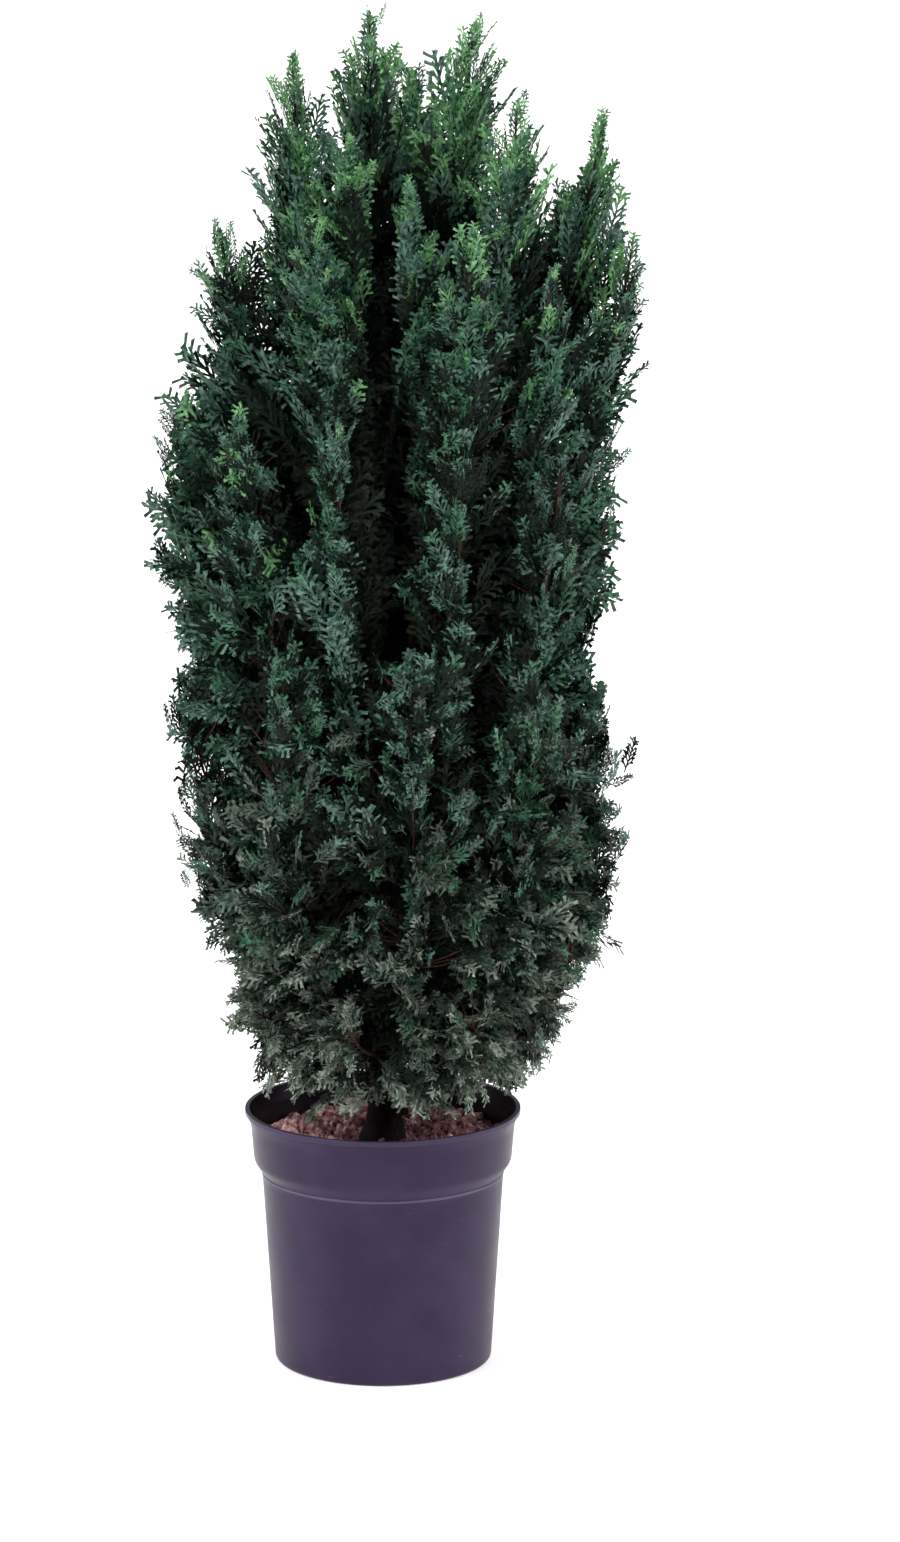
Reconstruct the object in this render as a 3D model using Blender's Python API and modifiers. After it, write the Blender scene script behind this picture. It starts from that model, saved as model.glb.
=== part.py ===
"""Potted false cypress: a round plastic pot, its soil, a leaning trunk, boughs and plumes of foliage.

Metres, +Z up. The origin is the centre of the pot's flat underside. The front faces -Y, +X is right.
"""

import math
import random
from dataclasses import dataclass

import bmesh
import bpy
import numpy as np
from mathutils import Matrix, Vector, noise
from mathutils.bvhtree import BVHTree

# Clearance between pieces that touch on the real plant
GAP = 0.0003

# Pot: a turned shell with a flat base, a tapered body, a step, a plain band and a rolled lip
POT_HEIGHT = 0.2445
POT_RIM_RADIUS = 0.130
POT_BASE_RADIUS = 0.1026
POT_WALL = 0.0022
POT_BASE_ROUNDING = 0.005
POT_STEP_Z = 0.186
POT_STEP_RADIUS = 0.1137
POT_SHOULDER_Z = 0.199
POT_SHOULDER_RADIUS = 0.1215
POT_BAND_RADIUS = 0.1245
POT_LIP_HEIGHT = 0.012
TURNED_STEPS = 36

# Soil: fills the pot to a few centimetres under the rim, level round the trunk and heaped at the front
SOIL_WALL_GAP = 0.0004
SOIL_EDGE_Z = 0.212
SOIL_SEAT_Z = 0.209
SOIL_SEAT_RADIUS = 0.036
SOIL_TOP_RINGS = 5
SOIL_LUMP_SIZE = 0.032
SOIL_LUMP_HEIGHT = 0.006
SOIL_FRONT_HEAP = 0.014
SOIL_HEAP_INNER = 0.055

# Trunk: stands on the soil with a flared foot, leans to the right and ends as the stem of the top plume
TRUNK_TIP = Vector((0.040, 0.004, 0.955))
TRUNK_FOOT_RADIUS = 0.0140
TRUNK_TIP_RADIUS = 0.0040
TRUNK_FLARE = 0.011
TRUNK_FLARE_HEIGHT = 0.045
TRUNK_FLARE_FALL = 2.2
TRUNK_SWAY = 0.010
TRUNK_SIDE_SWAY = 0.006
TRUNK_POINTS = 12
TRUNK_POINT_CROWDING = 1.5

# Boughs and stems
BOUGH_BUTT_RADIUS = 0.0048
STEM_RADIUS = 0.0025
STEM_TIP_RADIUS = 0.0009
LEAD = 0.004
LOWEST_LIMB_Z = 0.270
HIGHEST_LIMB_Z = 0.650
LEVEL_HEIGHT = 0.06
LIMB_CROWDING = 1.25
LIMB_OUT_SHARE = 0.16
LIMB_RISE_SHARE = 0.45
BOUGH_POINTS = 5
LIMB_POINTS = 4
SEAT_GAP = 0.00036
SEAT_POINTS = 12
SEAT_TRIES = 6

# Axis of a plume: it leaves its foot outwards and bends up at the knee
KNEE_SHARE = 0.62
KNEE_RISE = 0.42
KNEE_DROOP = 0.30
AXIS_POINTS = 13
AXIS_STEP = 0.02

# Width of a plume: a part of its widest at the foot and at the tip, and the slim core inside it
FOOT_WIDTH = 0.60
TIP_WIDTH = 0.22
CORE_SHARE = 0.50
CORE_FULLNESS = 0.8
CORE_END = 0.97
CORE_POINTS = 5

# Twigs: they follow each other at the golden angle, and every third one carries a second spray
GOLDEN_SHARE = 0.618034
PLUME_TURN_SHARE = 0.37
FIRST_TWIG = 0.05
LAST_TWIG = 0.70
LONG_TWIG_EVERY = 3
TWIG_RADIUS = 0.0018
TWIG_SHARE = 0.30
TWIG_END_SHARE = 0.24
STALK_ROOT_SHARE = 0.07
SIDE_ROOT_SHARE = 0.15
SIDE_SPRAY_ANGLE = math.radians(32.0)
SIDE_SPRAY_SHARE = 0.75
SIDE_ROLL_RANGE = (0.4, 0.9)
TURN_SPREAD = 0.2
LEAN_SPREAD = 0.2
ROLL_SPREAD = 0.6
HEADROOM_RANGE = (0.86, 0.96)
FACE_TURN = 0.6

# Sprays at the end of a plume's stem
TIP_SPRAY_SHARE = 1.9
TIP_WAY_FROM = 0.72
TIP_SIDE_ANGLE = 0.36
TIP_SIDE_ROLL = 1.2
TIP_SIDE_SHARE = 0.8
TIP_TURN_SPREAD = 0.8

# Outline of a spray: a thin blade with teeth along both sides, each a cluster of needles
SPRAY_WIDTH_SHARE = 0.50
SPRAY_THICKNESS_SHARE = 0.030
BLADE_MIDDLE = 0.35
TOOTH_START = 0.18
TOOTH_RUN = 0.90
TOOTH_OUT = 0.66
TOOTH_FALL = 0.48
NOTCH_BACK = 0.03
NOTCH_DEPTH = 0.40

# Room for a spray: how much larger it is tested, and what is tried where it does not fit
CLEAR_SCALE = 1.04
CLEAR_THICKNESS = 0.0012
OWN_SPACE_MARGIN = 0.03
ROOT_FREE_SHARE = 0.25
OUTER_SHARE = 0.6
SHORTER = (1.0, 0.86, 0.72, 0.6)
ROLLS = (0.0, 0.5, -0.5)

BARK_COLOUR = (0.105, 0.050, 0.034)
POT_COLOUR = (0.060, 0.042, 0.082)
SOIL_COLOUR = (0.125, 0.072, 0.052)
TOP_GREEN = (0.040, 0.105, 0.050)
LOW_GREEN = (0.062, 0.080, 0.052)
GREEN_FROM_Z = 0.4
GREEN_RANGE = 0.8


@dataclass(frozen=True)
class Tier:
    """What the plumes of one height have in common."""

    rise_angle: float
    twigs: int
    arc: float
    droop: float
    widest: float


TOP = Tier(rise_angle=math.radians(26), twigs=6, arc=math.radians(360), droop=0.0, widest=0.36)
UPPER = Tier(rise_angle=math.radians(30), twigs=6, arc=math.radians(300), droop=0.0, widest=0.32)
MIDDLE = Tier(rise_angle=math.radians(36), twigs=6, arc=math.radians(280), droop=0.0, widest=0.28)
LOWER = Tier(rise_angle=math.radians(50), twigs=6, arc=math.radians(280), droop=0.12, widest=0.14)
SKIRT = Tier(rise_angle=math.radians(46), twigs=6, arc=math.radians(360), droop=0.20, widest=0.36)


@dataclass(frozen=True)
class Plume:
    """One mass of foliage: where its tip stands, how tall and wide it is and how far out it roots."""

    name: str
    tier: Tier
    tip: tuple
    height: float
    half_width: float
    foot_reach: float
    has_bough: bool


PLUMES = (
    Plume("top_center", TOP, (0.086, 0.000, 1.266), 0.310, 0.060, 0.000, False),
    Plume("top_left", TOP, (-0.010, 0.030, 1.272), 0.330, 0.058, 0.064, True),
    Plume("top_back", TOP, (0.030, 0.092, 1.215), 0.290, 0.056, 0.068, True),
    Plume("top_shoulder", TOP, (-0.080, -0.022, 1.238), 0.310, 0.054, 0.104, True),
    Plume("top_front_left", TOP, (-0.030, -0.082, 1.164), 0.270, 0.052, 0.076, True),
    Plume("top_front", TOP, (0.026, -0.106, 1.126), 0.240, 0.048, 0.090, True),
    Plume("top_front_right", TOP, (0.124, -0.052, 1.200), 0.290, 0.054, 0.070, True),
    Plume("top_right", TOP, (0.204, 0.034, 1.176), 0.300, 0.050, 0.096, True),
    Plume("top_far_right", TOP, (0.232, -0.024, 1.075), 0.280, 0.044, 0.126, True),
    Plume("upper_left", UPPER, (-0.146, -0.034, 1.080), 0.280, 0.058, 0.128, True),
    Plume("upper_front_left", UPPER, (-0.062, -0.136, 1.090), 0.270, 0.054, 0.128, True),
    Plume("upper_front_right", UPPER, (0.078, -0.146, 1.080), 0.270, 0.054, 0.126, True),
    Plume("upper_right_front", UPPER, (0.152, -0.108, 1.040), 0.262, 0.052, 0.118, True),
    Plume("upper_right_back", UPPER, (0.166, 0.110, 1.090), 0.290, 0.064, 0.122, True),
    Plume("upper_back", UPPER, (0.050, 0.166, 1.090), 0.280, 0.062, 0.126, True),
    Plume("upper_left_back", UPPER, (-0.078, 0.116, 1.130), 0.300, 0.064, 0.120, True),
    Plume("middle_left", MIDDLE, (-0.190, -0.010, 0.915), 0.330, 0.070, 0.124, True),
    Plume("middle_left_front", MIDDLE, (-0.130, -0.124, 0.920), 0.310, 0.060, 0.130, False),
    Plume("middle_front_left", MIDDLE, (-0.040, -0.176, 0.908), 0.300, 0.056, 0.132, True),
    Plume("middle_front_right", MIDDLE, (0.074, -0.176, 0.916), 0.300, 0.056, 0.132, True),
    Plume("middle_right_front", MIDDLE, (0.164, -0.128, 0.886), 0.300, 0.060, 0.132, False),
    Plume("middle_right", MIDDLE, (0.206, 0.004, 0.920), 0.330, 0.068, 0.126, True),
    Plume("middle_right_back", MIDDLE, (0.144, 0.126, 0.920), 0.310, 0.066, 0.130, False),
    Plume("middle_back", MIDDLE, (0.014, 0.180, 0.930), 0.310, 0.066, 0.130, False),
    Plume("middle_left_back", MIDDLE, (-0.118, 0.126, 0.930), 0.310, 0.066, 0.130, False),
    Plume("lower_left", LOWER, (-0.184, -0.006, 0.650), 0.310, 0.084, 0.094, False),
    Plume("lower_front_left", LOWER, (-0.096, -0.152, 0.690), 0.330, 0.078, 0.096, False),
    Plume("lower_front", LOWER, (0.034, -0.172, 0.690), 0.330, 0.076, 0.098, False),
    Plume("lower_front_right", LOWER, (0.142, -0.120, 0.670), 0.320, 0.078, 0.096, False),
    Plume("lower_right", LOWER, (0.206, 0.020, 0.650), 0.310, 0.084, 0.104, False),
    Plume("lower_back_right", LOWER, (0.112, 0.150, 0.680), 0.320, 0.084, 0.100, False),
    Plume("lower_back_left", LOWER, (-0.084, 0.150, 0.680), 0.320, 0.086, 0.100, False),
    Plume("skirt_left", SKIRT, (-0.132, -0.068, 0.362), 0.052, 0.064, 0.040, False),
    Plume("skirt_front_left", SKIRT, (-0.030, -0.148, 0.352), 0.048, 0.060, 0.040, False),
    Plume("skirt_front_right", SKIRT, (0.088, -0.134, 0.352), 0.048, 0.060, 0.040, False),
    Plume("skirt_right", SKIRT, (0.172, -0.050, 0.368), 0.056, 0.066, 0.040, False),
    Plume("skirt_back", SKIRT, (0.010, 0.150, 0.362), 0.052, 0.068, 0.040, False),
)


def clear_scene():
    """Remove whatever the open file holds."""
    for thing in list(bpy.data.objects):
        bpy.data.objects.remove(thing, do_unlink=True)


def new_collection(name):
    """Return a new collection, linked to the scene."""
    collection = bpy.data.collections.new(name)
    bpy.context.scene.collection.children.link(collection)
    return collection


def make_material(name, colour, roughness):
    """Return a plain Principled material."""
    material = bpy.data.materials.new(name)
    material.use_nodes = True
    shader = material.node_tree.nodes["Principled BSDF"]
    shader.inputs["Base Color"].default_value = (*colour, 1.0)
    shader.inputs["Roughness"].default_value = roughness
    shader.inputs["Metallic"].default_value = 0.0
    return material


def new_object(name, mesh, collection, material=None):
    """Return an object of the mesh, linked to the collection and dressed in the material."""
    thing = bpy.data.objects.new(name, mesh)
    collection.objects.link(thing)
    if material is not None:
        mesh.materials.clear()
        mesh.materials.append(material)
    return thing


def evaluated_mesh(thing):
    """Return a copy of the object's mesh with its modifiers or curve settings carried out."""
    bpy.context.view_layer.update()
    depsgraph = bpy.context.evaluated_depsgraph_get()
    return bpy.data.meshes.new_from_object(thing.evaluated_get(depsgraph), depsgraph=depsgraph)


def weld(mesh, distance=0.00002):
    """Join the mesh's doubled points and turn its faces outwards."""
    work = bmesh.new()
    work.from_mesh(mesh)
    bmesh.ops.remove_doubles(work, verts=work.verts, dist=distance)
    bmesh.ops.recalc_face_normals(work, faces=work.faces)
    work.to_mesh(mesh)
    work.free()


def mesh_tree(mesh):
    """Return a search tree of the mesh's faces."""
    work = bmesh.new()
    work.from_mesh(mesh)
    tree = BVHTree.FromBMesh(work)
    work.free()
    return tree


def turned(name, profile, collection, material):
    """Return a turned object: the profile's (radius, z) points run down the outer side first."""
    mesh = bpy.data.meshes.new(name)
    points = [(radius, 0.0, z) for radius, z in profile]
    mesh.from_pydata(points, [(i, i + 1) for i in range(len(points) - 1)], [])
    thing = new_object(name, mesh, collection, material)
    screw = thing.modifiers.new("Turn", "SCREW")
    screw.steps = TURNED_STEPS
    screw.render_steps = TURNED_STEPS
    screw.use_merge_vertices = True
    screw.merge_threshold = 0.00005
    return thing


def wall_points(inset):
    """Return the pot's outer (radius, z) wall from the lip's foot to the base, drawn in by inset."""
    slope = (POT_STEP_RADIUS - POT_BASE_RADIUS) / (POT_STEP_Z - POT_BASE_ROUNDING)
    base_radius = POT_BASE_RADIUS - slope * POT_BASE_ROUNDING
    return (
        (POT_BAND_RADIUS - inset, POT_HEIGHT - POT_LIP_HEIGHT),
        (POT_SHOULDER_RADIUS - inset, POT_SHOULDER_Z),
        (POT_STEP_RADIUS - inset, POT_STEP_Z),
        (POT_BASE_RADIUS - inset, POT_BASE_ROUNDING),
        (base_radius - inset, 0.0),
    )


def build_pot(collection):
    """Return the pot: one turned shell, closed from the lip's top round to the floor."""
    lip_foot = POT_HEIGHT - POT_LIP_HEIGHT
    roll = POT_LIP_HEIGHT / 4.0
    outer = wall_points(0.0)[:-1]
    inner = wall_points(POT_WALL)[:-2]
    profile = [(0.0, POT_WALL), (POT_BASE_RADIUS - POT_BASE_ROUNDING - POT_WALL / 2.0, POT_WALL)]
    profile += [(POT_BASE_RADIUS - POT_WALL, POT_BASE_ROUNDING + POT_WALL / 2.0)]
    profile += inner[::-1]
    profile += [
        (POT_BAND_RADIUS - POT_WALL, POT_HEIGHT - roll / 2.0),
        (POT_BAND_RADIUS - POT_WALL / 2.0, POT_HEIGHT),
        (POT_RIM_RADIUS - roll, POT_HEIGHT),
        (POT_RIM_RADIUS - roll * 0.25, POT_HEIGHT - roll * 0.75),
        (POT_RIM_RADIUS, POT_HEIGHT - roll * 1.8),
        (POT_RIM_RADIUS, lip_foot + roll * 0.4),
        (POT_RIM_RADIUS - roll * 0.4, lip_foot),
    ]
    profile += outer
    profile += [(POT_BASE_RADIUS - POT_BASE_ROUNDING, 0.0), (0.0, 0.0)]
    return turned("pot", profile, collection, make_material("Moulded pot plastic", POT_COLOUR, 0.42))


def soil_height(x, y):
    """Return the soil's height at a place: level round the trunk, lumpy outside, heaped in front."""
    distance = math.hypot(x, y)
    outside = min(1.0, max(0.0, (distance - SOIL_SEAT_RADIUS) / SOIL_SEAT_RADIUS))
    lumps = noise.noise(Vector((x, y, 0.0)) / SOIL_LUMP_SIZE)
    frontness = max(0.0, -y / POT_BAND_RADIUS)
    far_out = min(1.0, max(0.0, (distance - SOIL_HEAP_INNER) / (POT_BAND_RADIUS - SOIL_HEAP_INNER)))
    heap = SOIL_FRONT_HEAP * frontness * far_out
    edge = SOIL_SEAT_Z + outside * (SOIL_EDGE_Z - SOIL_SEAT_Z)
    return edge + outside * (SOIL_LUMP_HEIGHT * lumps + heap)


def build_soil(collection):
    """Return the soil: a plug turned to the pot's inside, with its top raised into lumps."""
    inset = POT_WALL + SOIL_WALL_GAP
    wall = wall_points(inset)
    share = (SOIL_EDGE_Z - POT_SHOULDER_Z) / (POT_HEIGHT - POT_LIP_HEIGHT - POT_SHOULDER_Z)
    edge_radius = wall[1][0] + share * (wall[0][0] - wall[1][0])
    profile = [(0.0, SOIL_EDGE_Z)]
    for ring in range(1, SOIL_TOP_RINGS + 1):
        radius = SOIL_SEAT_RADIUS + (edge_radius - SOIL_SEAT_RADIUS) * (ring - 1) / (SOIL_TOP_RINGS - 1)
        profile.append((radius, SOIL_EDGE_Z))
    floor = POT_WALL + GAP
    profile += [wall[1], wall[2], (POT_BASE_RADIUS - inset, POT_BASE_ROUNDING + POT_WALL)]
    profile += [(POT_BASE_RADIUS - inset - POT_BASE_ROUNDING, floor), (0.0, floor)]
    material = make_material("Dried peat", SOIL_COLOUR, 0.95)
    thing = turned("soil", profile, collection, material)
    mesh = evaluated_mesh(thing)
    thing.modifiers.clear()
    thing.data = mesh
    weld(mesh)
    for vertex in mesh.vertices:
        if vertex.co.z < SOIL_EDGE_Z - GAP:
            continue
        x, y = vertex.co.x, vertex.co.y
        rise = soil_height(x, y) - SOIL_EDGE_Z
        vertex.co.z += rise
        if math.hypot(x, y) > edge_radius - GAP:
            slope = (wall[0][0] - wall[1][0]) / (POT_HEIGHT - POT_LIP_HEIGHT - POT_SHOULDER_Z)
            wider = 1.0 + slope * rise / edge_radius
            vertex.co.x = x * wider
            vertex.co.y = y * wider
    return thing


def trunk_foot():
    """Return the centre of the trunk's flat cut, on the soil."""
    return Vector((0.0, 0.0, SOIL_SEAT_Z + GAP))


def trunk_point(z):
    """Return the centre of the trunk at a height: a lean to the right with a slow sway."""
    foot = trunk_foot()
    share = min(1.0, max(0.0, (z - foot.z) / (TRUNK_TIP.z - foot.z)))
    sway = TRUNK_SWAY * math.sin(share * math.pi * 2.0) * share
    middle = foot.lerp(TRUNK_TIP, share)
    side_sway = sway * TRUNK_SIDE_SWAY / TRUNK_SWAY
    return Vector((middle.x - sway, middle.y + side_sway, z))


def trunk_radius(z):
    """Return the trunk's radius at a height: an even taper, with a root flare at the soil."""
    foot = trunk_foot()
    share = min(1.0, max(0.0, (z - foot.z) / (TRUNK_TIP.z - foot.z)))
    flare = TRUNK_FLARE * math.exp(-(z - foot.z) / TRUNK_FLARE_HEIGHT * TRUNK_FLARE_FALL)
    return TRUNK_FOOT_RADIUS + share * (TRUNK_TIP_RADIUS - TRUNK_FOOT_RADIUS) + flare


def tapered_tube(name, points, radii, sides_setting, collection):
    """Return a mesh object: a tube through the points, with a radius at each and flat ends."""
    curve = bpy.data.curves.new(name, "CURVE")
    curve.dimensions = "3D"
    curve.bevel_depth = 1.0
    curve.bevel_resolution = sides_setting
    curve.use_fill_caps = True
    curve.twist_mode = "MINIMUM"
    spline = curve.splines.new("POLY")
    spline.points.add(len(points) - 1)
    for control, place, radius in zip(spline.points, points, radii):
        control.co = (*place, 1.0)
        control.radius = radius
    guide = bpy.data.objects.new(name + "_route", curve)
    collection.objects.link(guide)
    mesh = evaluated_mesh(guide)
    bpy.data.objects.remove(guide, do_unlink=True)
    bpy.data.curves.remove(curve)
    weld(mesh)
    return new_object(name, mesh, collection)


def build_trunk(collection):
    """Return the trunk, from its flat cut on the soil to the foot of the top plume."""
    foot = trunk_foot()
    points = []
    for i in range(TRUNK_POINTS):
        share = (i / (TRUNK_POINTS - 1)) ** TRUNK_POINT_CROWDING
        points.append(trunk_point(foot.z + share * (TRUNK_TIP.z - foot.z)))
    radii = [trunk_radius(point.z) for point in points]
    trunk = tapered_tube("trunk", points, radii, 4, collection)
    for vertex in trunk.data.vertices:
        if (vertex.co - foot).length < TRUNK_FOOT_RADIUS + TRUNK_FLARE * 2.0:
            if vertex.co.z < foot.z + TRUNK_FLARE_HEIGHT * 0.1:
                vertex.co.z = foot.z
    trunk.data.materials.append(make_material("Trunk bark", BARK_COLOUR, 0.85))
    return trunk


def bezier(corners, share):
    """Return the point at a share of the way along the Bezier curve of any number of corners."""
    points = list(corners)
    while len(points) > 1:
        points = [a.lerp(b, share) for a, b in zip(points[:-1], points[1:])]
    return points[0]


def outward_of(plume):
    """Return the level unit direction from the trunk to the plume."""
    tip = Vector(plume.tip)
    away = tip - trunk_point(tip.z - plume.height)
    away.z = 0.0
    return away.normalized()


def plume_foot(plume):
    """Return the point where the plume's sprays begin, at the end of its bough."""
    z = plume.tip[2] - plume.height
    if plume.foot_reach == 0.0:
        return TRUNK_TIP
    return trunk_point(z) + outward_of(plume) * plume.foot_reach


def plume_corners(plume):
    """Return the Bezier corners of the plume's axis, which leaves outwards and turns up."""
    foot = plume_foot(plume)
    tip = Vector(plume.tip)
    knee = foot.lerp(tip, KNEE_SHARE)
    knee.z = foot.z + (tip.z - foot.z) * (KNEE_RISE - KNEE_DROOP * plume.tier.droop)
    return (foot, knee, tip)


def limb_start_z(plume):
    """Return the height where the plume's limb leaves the trunk: limbs follow the order of their feet."""
    rooted = [other for other in PLUMES if other.foot_reach > 0.0]

    def order(other):
        """Return the level of the plume's foot, and its place round the trunk on that level."""
        level = round((other.tip[2] - other.height) / LEVEL_HEIGHT)
        return level, (PLUMES.index(other) * GOLDEN_SHARE) % 1.0

    rank = sorted(rooted, key=order).index(plume)
    share = (rank / (len(rooted) - 1)) ** LIMB_CROWDING
    return LOWEST_LIMB_Z + (HIGHEST_LIMB_Z - LOWEST_LIMB_Z) * share


def seat_point(plume, tree):
    """Return the centre of the limb's butt, 0.3 mm clear of the trunk's faces."""
    foot = plume_foot(plume)
    start_z = limb_start_z(plume)
    middle = trunk_point(start_z)
    away = foot - middle
    away.z = 0.0
    away.normalize()
    across = Vector((-away.y, away.x, 0.0))
    butt = BOUGH_BUTT_RADIUS
    rim = [Vector((0.0, 0.0, 0.0))]
    for i in range(SEAT_POINTS):
        turn = math.tau * i / SEAT_POINTS
        rim.append(across * (butt * math.cos(turn)) + Vector((0.0, 0.0, butt * math.sin(turn))))
    reach = trunk_radius(start_z)
    for _ in range(SEAT_TRIES):
        nearest = min(signed_distance(tree, middle + away * reach + offset) for offset in rim)
        reach += SEAT_GAP - nearest
    return middle + away * reach, away


def signed_distance(tree, place):
    """Return how far the place lies outside the tree's faces, negative inside."""
    hit, normal, _, distance = tree.find_nearest(place)
    side = 1.0 if (place - hit).dot(normal) >= 0.0 else -1.0
    return distance * side


def entry_way(plume):
    """Return the direction in which the plume's stem leaves its foot."""
    if plume.foot_reach == 0.0:
        return (TRUNK_TIP - trunk_point(TRUNK_TIP.z - LEAD)).normalized()
    foot, knee, _ = plume_corners(plume)
    return (knee - foot).normalized()


def limb_route(plume, tree, count):
    """Return points from the trunk's side to the plume's foot, straight at both ends."""
    start, away = seat_point(plume, tree)
    foot = plume_foot(plume)
    entry = entry_way(plume)
    rise = foot.z - start.z
    out = (foot - start).length * LIMB_OUT_SHARE
    near = start + away * LEAD
    far = foot - entry * LEAD
    corners = (near, near + away * out, far - entry * rise * LIMB_RISE_SHARE, far)
    middle = [bezier(corners, i / (count - 1)) for i in range(count)]
    return [start] + middle + [foot]


def taper(points, first, last):
    """Return a radius for each point, falling evenly with the way along them."""
    steps = [(b - a).length for a, b in zip(points[:-1], points[1:])]
    whole = sum(steps)
    radii = [first]
    gone = 0.0
    for step in steps:
        gone += step
        radii.append(first + (last - first) * gone / whole)
    return radii


def build_bough(plume, tree, collection):
    """Return the plume's bough: one tapering limb that ends where it enters the plume."""
    points = limb_route(plume, tree, BOUGH_POINTS)
    radii = taper(points, BOUGH_BUTT_RADIUS, STEM_RADIUS)
    bough = tapered_tube("bough_" + plume.name, points, radii, 1, collection)
    bough.data.materials.append(make_material("Bough bark " + plume.name, BARK_COLOUR, 0.85))
    return bough


def envelope(share, widest):
    """Return the plume's width at a share of its height, as a part of its width at the widest."""
    if share < widest:
        return FOOT_WIDTH + (1.0 - FOOT_WIDTH) * math.sin(share / widest * math.pi / 2.0)
    fall = (share - widest) / (1.0 - widest)
    return TIP_WIDTH + (1.0 - TIP_WIDTH) * math.cos(fall * math.pi / 2.0)


def build_core(plume, tree, collection):
    """Return the plume's stem: it runs from its bough or the trunk and swells into a slim core."""
    corners = plume_corners(plume)
    entry = entry_way(plume)
    foot_radius = STEM_RADIUS
    if plume.foot_reach == 0.0:
        foot_radius = TRUNK_TIP_RADIUS
    if plume.has_bough or plume.foot_reach == 0.0:
        points = [corners[0] + entry * GAP]
        radii = [foot_radius]
    else:
        points = limb_route(plume, tree, LIMB_POINTS)[:-1]
        radii = taper(points, BOUGH_BUTT_RADIUS, STEM_RADIUS)
    points.append(corners[0] + entry * LEAD)
    radii.append(foot_radius)
    for i in range(1, CORE_POINTS):
        share = i / (CORE_POINTS - 1)
        points.append(bezier(corners, share * CORE_END))
        width = plume.half_width * envelope(share, plume.tier.widest)
        swell = CORE_SHARE * width * math.sin(math.pi * share) ** CORE_FULLNESS
        stem = foot_radius + share * (STEM_TIP_RADIUS - foot_radius)
        radii.append(max(stem, swell) if share < 1.0 else stem)
    return tapered_tube("foliage_" + plume.name, points, radii, 0, collection)


def blade_rim(length, width, teeth):
    """Return the rim of a toothed blade: its root, teeth up one side, its tip, teeth down the other."""
    side = []
    for tooth in range(teeth):
        share = (tooth + 1) / (teeth + 1)
        along = length * (TOOTH_START + TOOTH_RUN * share)
        out = width * (TOOTH_OUT - TOOTH_FALL * share)
        side.append((along, out))
        side.append((along - length * NOTCH_BACK * share, out * NOTCH_DEPTH))
    mirrored = [(x, -y) for x, y in reversed(side)]
    return [(0.0, 0.0)] + side + [(length, 0.0)] + mirrored


def blade_mesh(length, width, thickness, teeth):
    """Return a thin toothed blade: a flat double cone whose rim is drawn in and out into teeth."""
    rim = blade_rim(length, width, teeth)
    work = bmesh.new()
    bmesh.ops.create_cone(
        work, cap_ends=True, cap_tris=True, segments=len(rim), radius1=1.0, radius2=0.0, depth=1.0
    )
    middle_x = BLADE_MIDDLE * length
    edge = []
    for vertex in work.verts:
        if math.hypot(vertex.co.x, vertex.co.y) > 0.5:
            edge.append(vertex)
        else:
            side = 1.0 if vertex.co.z > 0.0 else -1.0
            vertex.co = Vector((middle_x, 0.0, side * thickness / 2.0))
    edge.sort(key=lambda vertex: math.atan2(vertex.co.y, vertex.co.x))
    ordered = sorted(rim, key=lambda point: math.atan2(point[1], point[0] - middle_x))
    for vertex, (x, y) in zip(edge, ordered):
        vertex.co = Vector((x, y, 0.0))
    bmesh.ops.recalc_face_normals(work, faces=work.faces)
    mesh = bpy.data.meshes.new("spray")
    work.to_mesh(mesh)
    work.free()
    return mesh


def twig_mesh(length, radius):
    """Return a three-sided tapering twig along +X, its butt at the origin."""
    work = bmesh.new()
    bmesh.ops.create_cone(
        work, cap_ends=True, cap_tris=False, segments=3, radius1=radius, radius2=radius * 0.5, depth=length
    )
    move = Matrix.Rotation(math.pi / 2.0, 4, "Y") @ Matrix.Translation((0.0, 0.0, length / 2.0))
    bmesh.ops.transform(work, matrix=move, verts=work.verts)
    bmesh.ops.recalc_face_normals(work, faces=work.faces)
    mesh = bpy.data.meshes.new("twig")
    work.to_mesh(mesh)
    work.free()
    return mesh


def frame_at(place, along, flat_normal):
    """Return the matrix that lays a piece's +X along a direction and its +Z near a normal."""
    x_axis = along.normalized()
    z_axis = flat_normal - x_axis * flat_normal.dot(x_axis)
    z_axis.normalize()
    y_axis = z_axis.cross(x_axis)
    turn = Matrix((x_axis, y_axis, z_axis)).transposed().to_4x4()
    return Matrix.Translation(place) @ turn


class Spaces:
    """Shares the crown out: a place belongs to the plume whose axis is nearest for its width."""

    def __init__(self, plumes):
        self.axes = []
        self.widths = []
        for plume in plumes:
            corners = plume_corners(plume)
            places = [bezier(corners, i / (AXIS_POINTS - 1))[:] for i in range(AXIS_POINTS)]
            self.axes.append(np.array(places))
            self.widths.append(plume.half_width)

    def keeps(self, index, places):
        """Return whether all the places lie in the plume's own space, with a margin."""
        spots = np.array([place[:] for place in places])
        shares = []
        for axis, width in zip(self.axes, self.widths):
            steps = spots[:, None, :] - axis[None, :, :]
            shares.append(np.sqrt((steps ** 2).sum(axis=2)).min(axis=1) / width)
        shares = np.array(shares)
        own = shares[index]
        others = np.delete(shares, index, axis=0).min(axis=0)
        return bool((own + OWN_SPACE_MARGIN < others).all())


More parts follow.
